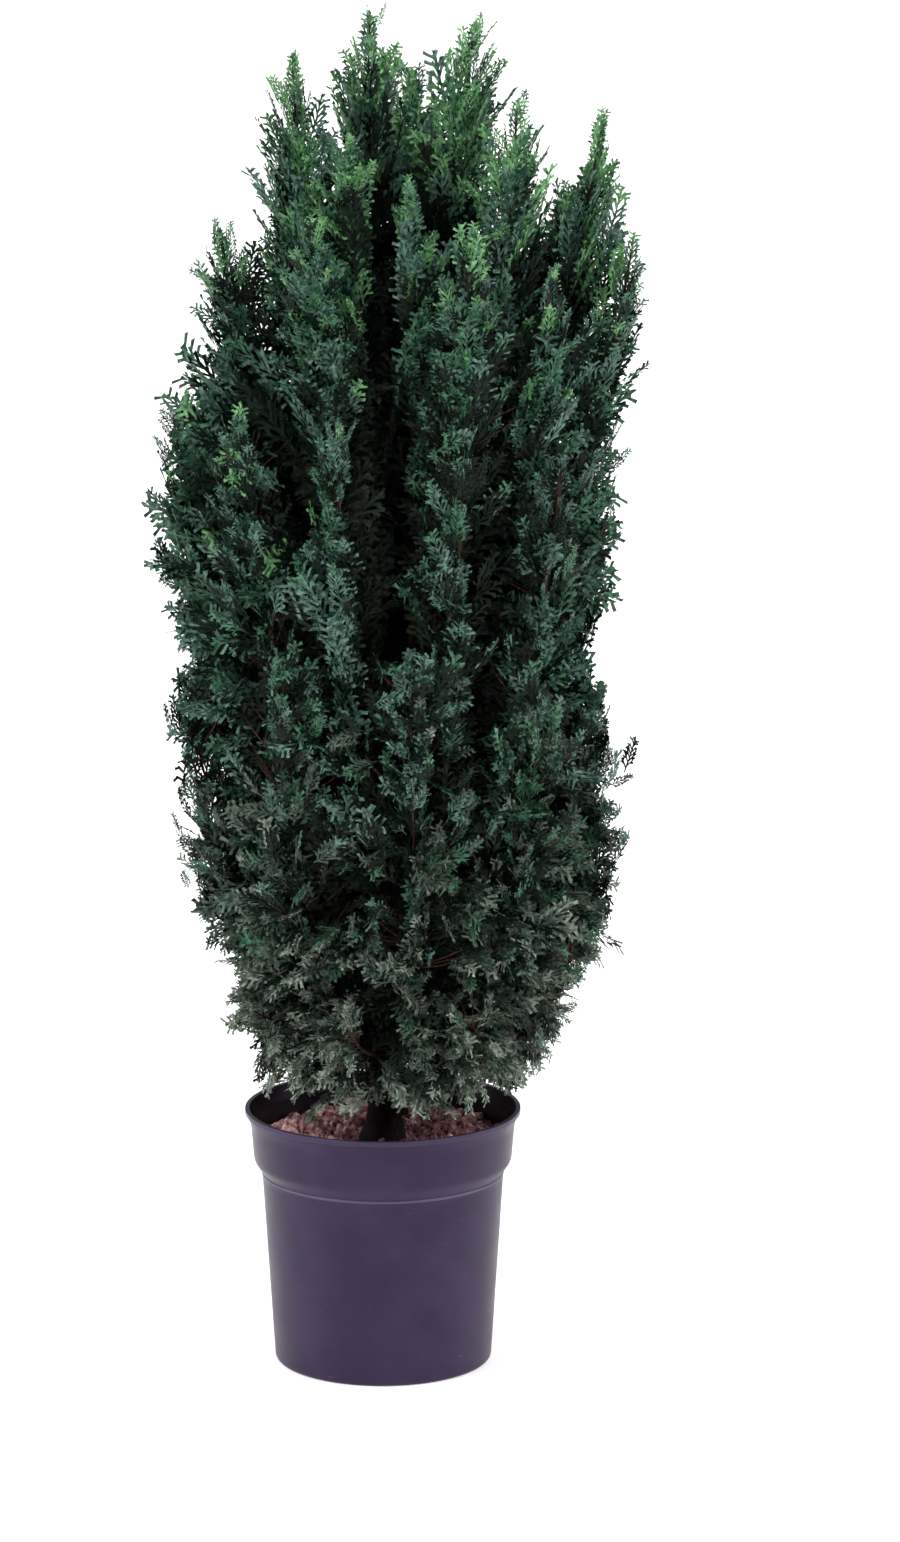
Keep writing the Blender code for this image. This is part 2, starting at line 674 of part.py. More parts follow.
class PlumeGrower:
    """Grows one plume's twigs and sprays by its tier's rule, each kept to the plume's own space."""

    def __init__(self, index, plume, spaces, trees, workshop):
        self.index = index
        self.plume = plume
        self.spaces = spaces
        self.trees = trees
        self.workshop = workshop
        self.draw = random.Random(1000 + index)
        self.corners = plume_corners(plume)
        self.outward = outward_of(plume)
        self.pieces = []
        self.own_sprays = []

    def axis_at(self, share):
        """Return the axis's place and direction at a share of its length."""
        place = bezier(self.corners, share)
        ahead = bezier(self.corners, min(1.0, share + AXIS_STEP))
        behind = bezier(self.corners, max(0.0, share - AXIS_STEP))
        return place, (ahead - behind).normalized()

    def add(self, mesh, matrix):
        """Keep a piece for the union."""
        mesh.transform(matrix)
        self.pieces.append(new_object("piece", mesh, self.workshop))

    def fits(self, length, width, teeth, matrix):
        """Return whether a spray keeps to this plume's space and touches nothing else."""
        rim = blade_rim(length * CLEAR_SCALE, width * CLEAR_SCALE, teeth)
        count = len(rim)
        places = []
        for i in range(count):
            x, y = rim[i]
            next_x, next_y = rim[(i + 1) % count]
            places.append(matrix @ Vector((x, y, 0.0)))
            places.append(matrix @ Vector(((x + next_x) / 2.0, (y + next_y) / 2.0, 0.0)))
        root = matrix.translation
        outer = [place for place in places if (place - root).length > length * ROOT_FREE_SHARE]
        if not self.spaces.keeps(self.index, outer):
            return False
        thickness = max(SPRAY_THICKNESS_SHARE * length, CLEAR_THICKNESS) + CLEAR_THICKNESS
        mesh = blade_mesh(length * CLEAR_SCALE, width * CLEAR_SCALE, thickness, teeth)
        mesh.transform(matrix)
        tree = mesh_tree(mesh)
        outer = Matrix.Translation((1.0 - OUTER_SHARE) * length * matrix.col[0].to_3d())
        for vertex in mesh.vertices:
            vertex.co = matrix.translation + (vertex.co - matrix.translation) * OUTER_SHARE
        mesh.transform(outer)
        outer_tree = mesh_tree(mesh)
        bpy.data.meshes.remove(mesh)
        if any(outer_tree.overlap(other) for other in self.own_sprays):
            return False
        return not any(tree.overlap(other) for other in self.trees)

    def add_spray(self, root, along, normal, length, teeth):
        """Add a spray, shortened or rolled where it would not fit, and say if it was kept."""
        for shorter in SHORTER:
            for roll in ROLLS:
                size = length * shorter
                width = size * SPRAY_WIDTH_SHARE
                rolled = Matrix.Rotation(roll, 3, along) @ normal
                matrix = frame_at(root, along, rolled)
                if self.fits(size, width, teeth, matrix):
                    thickness = size * SPRAY_THICKNESS_SHARE
                    mesh = blade_mesh(size, width, thickness, teeth)
                    self.add(mesh, matrix)
                    self.own_sprays.append(mesh_tree(mesh))
                    return True
        return False

    def twig_way(self, step):
        """Return the place, direction, face normal and length of one twig with its spray."""
        tier = self.plume.tier
        share = FIRST_TWIG + (LAST_TWIG - FIRST_TWIG) * step / (tier.twigs - 1)
        place, stem_way = self.axis_at(share)
        spread = (step * GOLDEN_SHARE + self.index * PLUME_TURN_SHARE) % 1.0
        turn = (spread - 0.5) * tier.arc + self.draw.uniform(-TURN_SPREAD, TURN_SPREAD)
        level = self.outward - stem_way * self.outward.dot(stem_way)
        away = Matrix.Rotation(turn, 3, stem_way) @ level.normalized()
        lean = tier.rise_angle * self.draw.uniform(1.0 - LEAN_SPREAD, 1.0 + LEAN_SPREAD)
        along = stem_way * math.cos(lean) + away * math.sin(lean)
        along.z -= tier.droop
        along.normalize()
        reach = self.plume.half_width * envelope(share, tier.widest)
        length = reach / math.sin(lean)
        headroom = (Vector(self.plume.tip) - place).length
        length = min(length, headroom * self.draw.uniform(*HEADROOM_RANGE))
        faces_out = self.outward - along * self.outward.dot(along)
        upright = along.cross(Vector((0.0, 0.0, 1.0)))
        normal = faces_out.normalized() if abs(turn) > FACE_TURN else upright.normalized()
        normal = Matrix.Rotation(self.draw.uniform(-ROLL_SPREAD, ROLL_SPREAD), 3, along) @ normal
        return place, along, normal, length

    def grow_spray(self, step):
        """Add one spray whose stalk roots in the core."""
        place, along, normal, length = self.twig_way(step)
        root = place + along * length * STALK_ROOT_SHARE
        self.add_spray(root, along, normal, length * (1.0 - STALK_ROOT_SHARE), 2)

    def grow_twig(self, step):
        """Add one twig with a spray at its end and one beside it."""
        place, along, normal, length = self.twig_way(step)
        root = place + along * length * TWIG_END_SHARE
        if not self.add_spray(root, along, normal, length * (1.0 - TWIG_END_SHARE), 3):
            return
        twig = twig_mesh(length * TWIG_SHARE, TWIG_RADIUS)
        self.add(twig, frame_at(place, along, normal))
        side = 1.0 if step % 2 else -1.0
        side_way = Matrix.Rotation(side * SIDE_SPRAY_ANGLE, 3, normal) @ along
        side_normal = Matrix.Rotation(self.draw.uniform(*SIDE_ROLL_RANGE), 3, side_way) @ normal
        side_root = place + along * length * SIDE_ROOT_SHARE
        self.add_spray(side_root, side_way, side_normal, length * SIDE_SPRAY_SHARE, 1)

    def grow_tip(self):
        """Add the sprays at the end of the stem, which reach the plume's tip."""
        tip = Vector(self.plume.tip)
        length = self.plume.half_width * TIP_SPRAY_SHARE
        place, _ = self.axis_at(TIP_WAY_FROM)
        way = (tip - place).normalized()
        tip_turn = self.draw.uniform(-TIP_TURN_SPREAD, TIP_TURN_SPREAD)
        across = Matrix.Rotation(tip_turn, 3, way) @ self.outward
        normal = (across - way * across.dot(way)).normalized()
        root = tip - way * length
        self.add_spray(root, way, normal, length, 2)
        angle = TIP_SIDE_ANGLE if self.index % 2 else -TIP_SIDE_ANGLE
        side = Matrix.Rotation(angle, 3, normal) @ way
        side_normal = Matrix.Rotation(TIP_SIDE_ROLL, 3, side) @ normal
        self.add_spray(root, side, side_normal, length * TIP_SIDE_SHARE, 1)

    def grow(self):
        """Grow the whole plume and return the pieces to fuse on its core."""
        self.grow_tip()
        for step in range(self.plume.tier.twigs):
            if step % LONG_TWIG_EVERY == 0:
                self.grow_twig(step)
            else:
                self.grow_spray(step)
        return self.pieces


def fuse(core, pieces, workshop):
    """Join the pieces to the core by one Boolean union, applied, and remove them."""
    union = core.modifiers.new("Fuse", "BOOLEAN")
    union.operation = "UNION"
    union.operand_type = "COLLECTION"
    union.collection = workshop
    union.solver = "EXACT"
    mesh = evaluated_mesh(core)
    core.modifiers.clear()
    core.data = mesh
    for piece in pieces:
        bpy.data.objects.remove(piece, do_unlink=True)


def green_of(plume):
    """Return the plume's colour: fresh green high up, duller and browner low down."""
    share = min(1.0, max(0.0, (plume.tip[2] - GREEN_FROM_Z) / GREEN_RANGE))
    return tuple(low + share * (top - low) for low, top in zip(LOW_GREEN, TOP_GREEN))


def build_plumes(tree, trees, collection, workshop):
    """Build every plume as one closed solid, with its space shared out among its neighbours."""
    spaces = Spaces(PLUMES)
    cores = [build_core(plume, tree, collection) for plume in PLUMES]
    core_trees = [mesh_tree(core.data) for core in cores]
    grown_trees = []
    for index, (plume, core) in enumerate(zip(PLUMES, cores)):
        others = core_trees[:index] + core_trees[index + 1:]
        grower = PlumeGrower(index, plume, spaces, trees + others + grown_trees, workshop)
        pieces = grower.grow()
        fuse(core, pieces, workshop)
        grown_trees.append(mesh_tree(core.data))
        core.data.materials.clear()
        core.data.materials.append(make_material("Foliage " + plume.name, green_of(plume), 0.6))


def build():
    """Build the potted plant."""
    clear_scene()
    plant = new_collection("Potted false cypress")
    workshop = new_collection("Fusing")
    pot = build_pot(plant)
    soil = build_soil(plant)
    trunk = build_trunk(plant)
    tree = mesh_tree(trunk.data)
    trees = [mesh_tree(evaluated_mesh(pot)), mesh_tree(soil.data), tree]
    for plume in PLUMES:
        if plume.has_bough:
            trees.append(mesh_tree(build_bough(plume, tree, plant).data))
    build_plumes(tree, trees, plant, workshop)
    bpy.data.collections.remove(workshop)


build()
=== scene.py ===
"""Potted false cypress, dressed: bark, dried peat, a nursery pot and a crown of feathery sprays.

Metres, +Z up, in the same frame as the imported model. The front faces -Y and +X is to its right.
"""

import logging
import math
import random
from dataclasses import dataclass, field
from enum import Enum

import bpy
import numpy as np
from mathutils import Euler, Matrix, Vector, noise


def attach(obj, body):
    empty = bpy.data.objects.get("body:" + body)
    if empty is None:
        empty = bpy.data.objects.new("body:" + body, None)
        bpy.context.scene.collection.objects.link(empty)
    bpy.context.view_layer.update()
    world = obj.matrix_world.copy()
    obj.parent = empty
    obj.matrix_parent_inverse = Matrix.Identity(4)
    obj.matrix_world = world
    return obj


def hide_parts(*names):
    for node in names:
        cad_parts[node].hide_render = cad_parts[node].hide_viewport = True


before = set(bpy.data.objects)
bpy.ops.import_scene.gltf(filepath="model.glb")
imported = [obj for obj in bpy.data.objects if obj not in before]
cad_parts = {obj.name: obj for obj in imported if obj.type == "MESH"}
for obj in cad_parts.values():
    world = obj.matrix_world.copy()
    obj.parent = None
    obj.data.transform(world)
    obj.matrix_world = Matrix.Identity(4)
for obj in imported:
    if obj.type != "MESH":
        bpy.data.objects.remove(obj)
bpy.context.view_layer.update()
log = logging.getLogger("false cypress")

BODY = "root"
GOLDEN_SHARE = 0.618034
MM_PER_METRE = 1000.0
MOST_FACES = 98000  # four-cornered faces in one piece of foliage, just under 200,000 triangles

Route = tuple[list[Vector], list[float]]  # a tube's points and its radius at each
Range = tuple[float, float]  # the least and the most of something left to chance


# Helpers for colours, nodes, directions and meshes


def linear(hex_colour: str) -> tuple[float, float, float, float]:
    """Return an sRGB hex colour as linear RGBA.

    Args:
        hex_colour: six hex digits, such as "5a5070".

    Returns:
        Red, green, blue and alpha, each from 0 to 1.
    """
    levels = [int(hex_colour[i:i + 2], 16) / 255.0 for i in (0, 2, 4)]
    red, green, blue = (c / 12.92 if c <= 0.04045 else ((c + 0.055) / 1.055) ** 2.4 for c in levels)
    return (red, green, blue, 1.0)


def add_node(tree: bpy.types.NodeTree, kind: str, inputs: dict | None = None, stops: tuple = (),
             **settings) -> bpy.types.Node:
    """Add a node with its settings and links.

    Args:
        tree: the node tree that takes the node.
        kind: the node's type name.
        inputs: a value or a linked output for each input, by its name or number.
        stops: for a node with a ramp, its pairs of place and hex colour.
        **settings: properties of the node itself.

    Returns:
        The new node.
    """
    node = tree.nodes.new(kind)
    for name, value in settings.items():
        setattr(node, name, value)
    for key, value in (inputs or {}).items():
        if isinstance(value, bpy.types.NodeSocket):
            tree.links.new(value, node.inputs[key])
        else:
            node.inputs[key].default_value = value
    if stops:
        points = node.color_ramp.elements
        while len(points) < len(stops):
            points.new(0.5)
        for point, (place, colour) in zip(points, stops):
            point.position, point.color = place, linear(colour)
    return node


def new_material(name: str, shader_inputs: dict) -> tuple[bpy.types.Material, bpy.types.Node]:
    """Return a new material and its Principled shader.

    Args:
        name: the finish's plain name.
        shader_inputs: the shader's own values, by socket name.

    Returns:
        The material and its shader node.
    """
    material = bpy.data.materials.new(name)
    material.use_nodes = True
    shader = material.node_tree.nodes["Principled BSDF"]
    for key, value in shader_inputs.items():
        shader.inputs[key].default_value = value
    return material, shader


def level_way(turn: float) -> Vector:
    """Return the level direction at a turn from +X, in radians."""
    return Vector((math.cos(turn), math.sin(turn), 0.0))


def stray(draw: random.Random, reach: float) -> Vector:
    """Return a vector of three parts, each drawn from -reach to reach."""
    return Vector([draw.uniform(-reach, reach) for _ in range(3)])


def bezier(corners: tuple[Vector, ...], share: float) -> Vector:
    """Return the point at a share of the way along a Bezier curve.

    Args:
        corners: the curve's corners, any number of them.
        share: how far along, from 0 to 1.

    Returns:
        The point.
    """
    points = list(corners)
    while len(points) > 1:
        points = [a.lerp(b, share) for a, b in zip(points[:-1], points[1:])]
    return points[0]


def ring_points(radius: float, z: float, steps: int) -> list[tuple[float, float, float]]:
    """Return the points of one level ring round the upright axis."""
    turns = [math.tau * step / steps for step in range(steps)]
    return [(radius * math.cos(turn), radius * math.sin(turn), z) for turn in turns]


def ring_faces(first: int, bands: int, steps: int) -> list[tuple[int, ...]]:
    """Return the faces of the bands between rings of points.

    Args:
        first: the number of the first ring's first point.
        bands: how many bands, one less than the rings.
        steps: the points of a ring.

    Returns:
        Four point numbers for each face.
    """
    faces = []
    for here in range(first, first + bands * steps, steps):
        for step in range(steps):
            after = (step + 1) % steps
            faces.append((here + step, here + steps + step, here + steps + after, here + after))
    return faces


def mesh_from_arrays(name: str, points: np.ndarray, faces: np.ndarray) -> bpy.types.Mesh:
    """Return a mesh whose faces all have the same number of corners.

    Args:
        name: the mesh's name.
        points: one row of x, y and z for each point.
        faces: one row of point numbers for each face.

    Returns:
        The new mesh.
    """
    mesh = bpy.data.meshes.new(name)
    count, sides = faces.shape
    mesh.vertices.add(len(points))
    mesh.vertices.foreach_set("co", points.astype(np.float32).ravel())
    mesh.loops.add(count * sides)
    mesh.loops.foreach_set("vertex_index", faces.astype(np.int32).ravel())
    mesh.polygons.add(count)
    mesh.polygons.foreach_set("loop_start", np.arange(0, count * sides, sides, dtype=np.int32))
    mesh.update(calc_edges=True)
    return mesh


def new_piece(name: str, mesh: bpy.types.Mesh, material: bpy.types.Material) -> bpy.types.Object:
    """Return an object of the mesh at the origin, in the scene, with one material.

    Args:
        name: the piece's name.
        mesh: its mesh, with its place in it.
        material: its only material.

    Returns:
        The new object.
    """
    piece = bpy.data.objects.new(name, mesh)
    bpy.context.scene.collection.objects.link(piece)
    mesh.materials.clear()
    mesh.materials.append(material)
    return piece


def hand_over(piece: bpy.types.Object, nodes: tuple[str, ...] = ()) -> None:
    """Args:
        piece: the finished piece.
        nodes: the CAD nodes that the piece replaces.
    """
    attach(piece, BODY)
    if nodes:
        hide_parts(*nodes)
    faces = sum(len(polygon.vertices) - 2 for polygon in piece.data.polygons)
    log.info("%s: %d triangles, replaces %d nodes", piece.name, faces, len(nodes))


# Geometry Nodes: bark tubes that follow routes, and peat scattered on a surface


def new_geometry_tree(name: str, inputs: dict[str, str]) -> tuple[bpy.types.NodeTree, bpy.types.Node]:
    """Return an empty geometry tree with named inputs.

    Args:
        name: the tree's name.
        inputs: socket type for each input's name, besides the geometry.

    Returns:
        The tree and its group input node.
    """
    tree = bpy.data.node_groups.new(name, "GeometryNodeTree")
    tree.interface.new_socket("Geometry", in_out="INPUT", socket_type="NodeSocketGeometry")
    for label, kind in inputs.items():
        tree.interface.new_socket(label, in_out="INPUT", socket_type=kind)
    tree.interface.new_socket("Geometry", in_out="OUTPUT", socket_type="NodeSocketGeometry")
    return tree, add_node(tree, "NodeGroupInput")


def end_tree(tree: bpy.types.NodeTree, shape: bpy.types.NodeSocket, material: bpy.types.NodeSocket) -> None:
    """End a geometry tree by realizing its instances and setting its material.

    Args:
        tree: the geometry tree.
        shape: the output that holds the finished shape.
        material: the tree's material input.
    """
    real = add_node(tree, "GeometryNodeRealizeInstances", {"Geometry": shape})
    dressed = add_node(tree, "GeometryNodeSetMaterial", {"Geometry": real.outputs[0], "Material": material})
    add_node(tree, "NodeGroupOutput", {"Geometry": dressed.outputs[0]})


def bark_tree() -> bpy.types.NodeTree:
    """Return a tree that turns routes into tubes with stringy bark in relief.

    Returns:
        The geometry tree.
    """
    tree, start = new_geometry_tree("Bark tube", {
        "Sides": "NodeSocketInt", "Step": "NodeSocketFloat", "Relief": "NodeSocketFloat",
        "Strips round": "NodeSocketFloat", "Strips along": "NodeSocketFloat", "Bark": "NodeSocketMaterial",
    })
    given = start.outputs
    route = add_node(tree, "GeometryNodeMeshToCurve", {"Mesh": given["Geometry"]})
    fine = add_node(tree, "GeometryNodeResampleCurve", {"Curve": route.outputs[0], "Length": given["Step"]},
                    mode="LENGTH")
    ring = add_node(tree, "GeometryNodeCurvePrimitiveCircle", {"Resolution": given["Sides"], "Radius": 1.0})
    thick = add_node(tree, "GeometryNodeInputNamedAttribute", {"Name": "thickness"}, data_type="FLOAT")
    tube = add_node(tree, "GeometryNodeCurveToMesh", {
        "Curve": fine.outputs[0], "Profile Curve": ring.outputs["Curve"],
        "Scale": thick.outputs["Attribute"], "Fill Caps": True,
    })
    place = add_node(tree, "GeometryNodeInputPosition")
    grid = add_node(tree, "ShaderNodeCombineXYZ", {
        "X": given["Strips round"], "Y": given["Strips round"], "Z": given["Strips along"],
    })
    spread = add_node(tree, "ShaderNodeVectorMath", {0: place.outputs[0], 1: grid.outputs[0]},
                      operation="MULTIPLY")
    grain = add_node(tree, "ShaderNodeTexNoise", {"Vector": spread.outputs[0], "Scale": 1.0, "Detail": 4.0})
    middle = add_node(tree, "ShaderNodeMath", {0: grain.outputs["Fac"], 1: 0.5}, operation="SUBTRACT")
    height = add_node(tree, "ShaderNodeMath", {0: middle.outputs[0], 1: given["Relief"]},
                      operation="MULTIPLY")
    outwards = add_node(tree, "GeometryNodeInputNormal")
    push = add_node(tree, "ShaderNodeVectorMath", {0: outwards.outputs[0], "Scale": height.outputs[0]},
                    operation="SCALE")
    rough = add_node(tree, "GeometryNodeSetPosition", {
        "Geometry": tube.outputs[0], "Offset": push.outputs[0],
    })
    smooth = add_node(tree, "GeometryNodeSetShadeSmooth", {"Geometry": rough.outputs[0]})
    end_tree(tree, smooth.outputs[0], given["Bark"])
    return tree


def scatter_tree() -> bpy.types.NodeTree:
    """Return a tree that strews crumbs or fibres on a surface, the same ones each run.

    Returns:
        The geometry tree.
    """
    tree, start = new_geometry_tree("Strewn bits", {
        "Density": "NodeSocketFloat", "Smallest": "NodeSocketFloat", "Largest": "NodeSocketFloat",
        "Stretch": "NodeSocketFloat", "Tilt": "NodeSocketFloat", "Seed": "NodeSocketInt",
        "Matter": "NodeSocketMaterial",
    })
    given = start.outputs
    spots = add_node(tree, "GeometryNodeDistributePointsOnFaces", {
        "Mesh": given["Geometry"], "Density": given["Density"], "Seed": given["Seed"],
    })
    lump = add_node(tree, "GeometryNodeMeshIcoSphere", {"Radius": 1.0, "Subdivisions": 1})
    drawn = add_node(tree, "ShaderNodeCombineXYZ", {"X": given["Stretch"], "Y": 1.0, "Z": 0.7})
    bit = add_node(tree, "GeometryNodeTransform", {"Geometry": lump.outputs[0], "Scale": drawn.outputs[0]})
    back = add_node(tree, "ShaderNodeMath", {0: given["Tilt"], 1: -1.0}, operation="MULTIPLY")
    low = add_node(tree, "ShaderNodeCombineXYZ", {"X": back.outputs[0], "Y": back.outputs[0], "Z": 0.0})
    high = add_node(tree, "ShaderNodeCombineXYZ", {"X": given["Tilt"], "Y": given["Tilt"], "Z": math.tau})
    turn = add_node(tree, "FunctionNodeRandomValue", {
        0: low.outputs[0], 1: high.outputs[0], "Seed": given["Seed"],
    }, data_type="FLOAT_VECTOR")
    turned = add_node(tree, "FunctionNodeEulerToRotation", {0: turn.outputs[0]})
    size = add_node(tree, "FunctionNodeRandomValue", {
        2: given["Smallest"], 3: given["Largest"], "Seed": given["Seed"],
    }, data_type="FLOAT")
    strewn = add_node(tree, "GeometryNodeInstanceOnPoints", {
        "Points": spots.outputs["Points"], "Instance": bit.outputs[0],
        "Rotation": turned.outputs[0], "Scale": size.outputs[1],
    })
    end_tree(tree, strewn.outputs[0], given["Matter"])
    return tree


def run_tree(name: str, mesh: bpy.types.Mesh, tree: bpy.types.NodeTree, values: dict) -> bpy.types.Object:
    """Return a plain mesh object made by a geometry tree.

    Args:
        name: the piece's name.
        mesh: the mesh that the tree starts from.
        tree: the geometry tree.
        values: a value for each named input.

    Returns:
        The piece, with the modifier's result as its mesh.
    """
    maker = bpy.data.objects.new(name + " maker", mesh)
    bpy.context.scene.collection.objects.link(maker)
    modifier = maker.modifiers.new(name, "NODES")
    modifier.node_group = tree
    for item in tree.interface.items_tree:
        if item.in_out == "INPUT" and item.name in values:
            modifier[item.identifier] = values[item.name]
    depsgraph = bpy.context.evaluated_depsgraph_get()
    depsgraph.update()
    result = bpy.data.meshes.new_from_object(maker.evaluated_get(depsgraph), depsgraph=depsgraph)
    material = next(entry for entry in result.materials if entry)
    result.polygons.foreach_set("material_index", [0] * len(result.polygons))
    bpy.data.objects.remove(maker, do_unlink=True)
    return new_piece(name, result, material)


def route_mesh(name: str, routes: list[Route]) -> bpy.types.Mesh:
    """Return a mesh of bare edges along routes, with the tube's thickness at each point.

    Args:
        name: the mesh's name.
        routes: for each tube its points and its radius at each.

    Returns:
        The mesh, with a point attribute named thickness.
    """
    points, edges, radii = [], [], []
    for places, widths in routes:
        first = len(points)
        points += [tuple(place) for place in places]
        radii += widths
        edges += [(first + i, first + i + 1) for i in range(len(places) - 1)]
    mesh = bpy.data.meshes.new(name)
    mesh.from_pydata(points, edges, [])
    mesh.attributes.new("thickness", "FLOAT", "POINT").data.foreach_set("value", radii)
    return mesh


# Finishes


@dataclass(frozen=True)
class LeafFinish:
    """Scale leaves, grown pressed to the shoot: a matt skin with a faint waxy gloss, mottled from a shade to
    a light colour, partly scale by scale and partly as painted light and shade.

    A real scale is about 2 mm, too fine to show, so the mottles are drawn 5 mm across.
    """

    name: str
    shade: str
    light: str
    roughness: float = 0.55
    gloss: float = 0.35
    mottle_mm: float = 5.0
    scale_mm: float = MM_PER_METRE / 600.0

    def material(self) -> bpy.types.Material:
        """Return the material: a shade and a light green in small mottles, partly painted light and shade,
        and a bump for the scales.

        Returns:
            The new material.
        """
        material, shader = new_material(self.name, {
            "Roughness": self.roughness, "Specular IOR Level": self.gloss, "IOR": 1.45,
        })
        tree = material.node_tree
        place = add_node(tree, "ShaderNodeTexCoord").outputs["Object"]
        mottle = add_node(tree, "ShaderNodeTexNoise", {
            "Vector": place, "Scale": MM_PER_METRE / self.mottle_mm, "Detail": 2.0,
        })
        colour = add_node(tree, "ShaderNodeValToRGB", {"Fac": mottle.outputs["Fac"]},
                          stops=((0.36, self.shade), (0.66, self.light)))
        tree.links.new(colour.outputs["Color"], shader.inputs["Base Color"])
        scales = add_node(tree, "ShaderNodeTexNoise", {
            "Vector": place, "Scale": MM_PER_METRE / self.scale_mm, "Detail": 1.0,
        })
        bump = add_node(tree, "ShaderNodeBump", {
            "Height": scales.outputs["Fac"], "Strength": 0.4, "Distance": 0.0008,
        })
        tree.links.new(bump.outputs["Normal"], shader.inputs["Normal"])
        return material


@dataclass(frozen=True)
class GrainFinish:
    """A dull grained stuff in three colours, from its grooves to its crusts, with the grain in relief.

    A stretch over 1 draws the grain out upwards, as in strips of bark.
    """

    name: str
    groove: str
    body: str
    crust: str
    grain_mm: float
    stretch: float
    roughness: float
    gloss: float
    detail: float
    coarseness: float
    relief: float
    relief_depth: float

    def material(self) -> bpy.types.Material:
        """Return the material: one grain that sets both the colour and the bump.

        Returns:
            The new material.
        """
        material, shader = new_material(self.name, {
            "Roughness": self.roughness, "Specular IOR Level": self.gloss,
        })
        tree = material.node_tree
        place = add_node(tree, "ShaderNodeTexCoord").outputs["Object"]
        fine = MM_PER_METRE / self.grain_mm
        drawn = add_node(tree, "ShaderNodeMapping", {
            "Vector": place, "Scale": (fine, fine, fine / self.stretch),
        })
        grain = add_node(tree, "ShaderNodeTexNoise", {
            "Vector": drawn.outputs[0], "Scale": 1.0, "Detail": self.detail, "Roughness": self.coarseness,
        })
        colour = add_node(tree, "ShaderNodeValToRGB", {"Fac": grain.outputs["Fac"]},
                          stops=((0.36, self.groove), (0.50, self.body), (0.70, self.crust)))
        tree.links.new(colour.outputs["Color"], shader.inputs["Base Color"])
        bump = add_node(tree, "ShaderNodeBump", {
            "Height": grain.outputs["Fac"], "Strength": self.relief, "Distance": self.relief_depth,
        })
        tree.links.new(bump.outputs["Normal"], shader.inputs["Normal"])
        return material


def bark_finish(name: str, groove: str, strip: str, worn: str, strip_mm: float = 2.5) -> GrainFinish:
    """Return thin stringy bark that peels in strips, nine times longer than wide, near black between them."""
    return GrainFinish(name, groove, strip, worn, strip_mm, stretch=9.0, roughness=0.85, gloss=0.25,
                       detail=5.0, coarseness=0.5, relief=0.7, relief_depth=0.0015)


def peat_finish(name: str, hollow: str, body: str, crust: str, grain_mm: float) -> GrainFinish:
    """Return dried peat, a dull fibrous brown that is paler on its crusts and darker in its hollows, down to
    almost black, as painted shade.
    """
    return GrainFinish(name, hollow, body, crust, grain_mm, stretch=1.0, roughness=0.97, gloss=0.15,
                       detail=6.0, coarseness=0.65, relief=0.9, relief_depth=0.002)


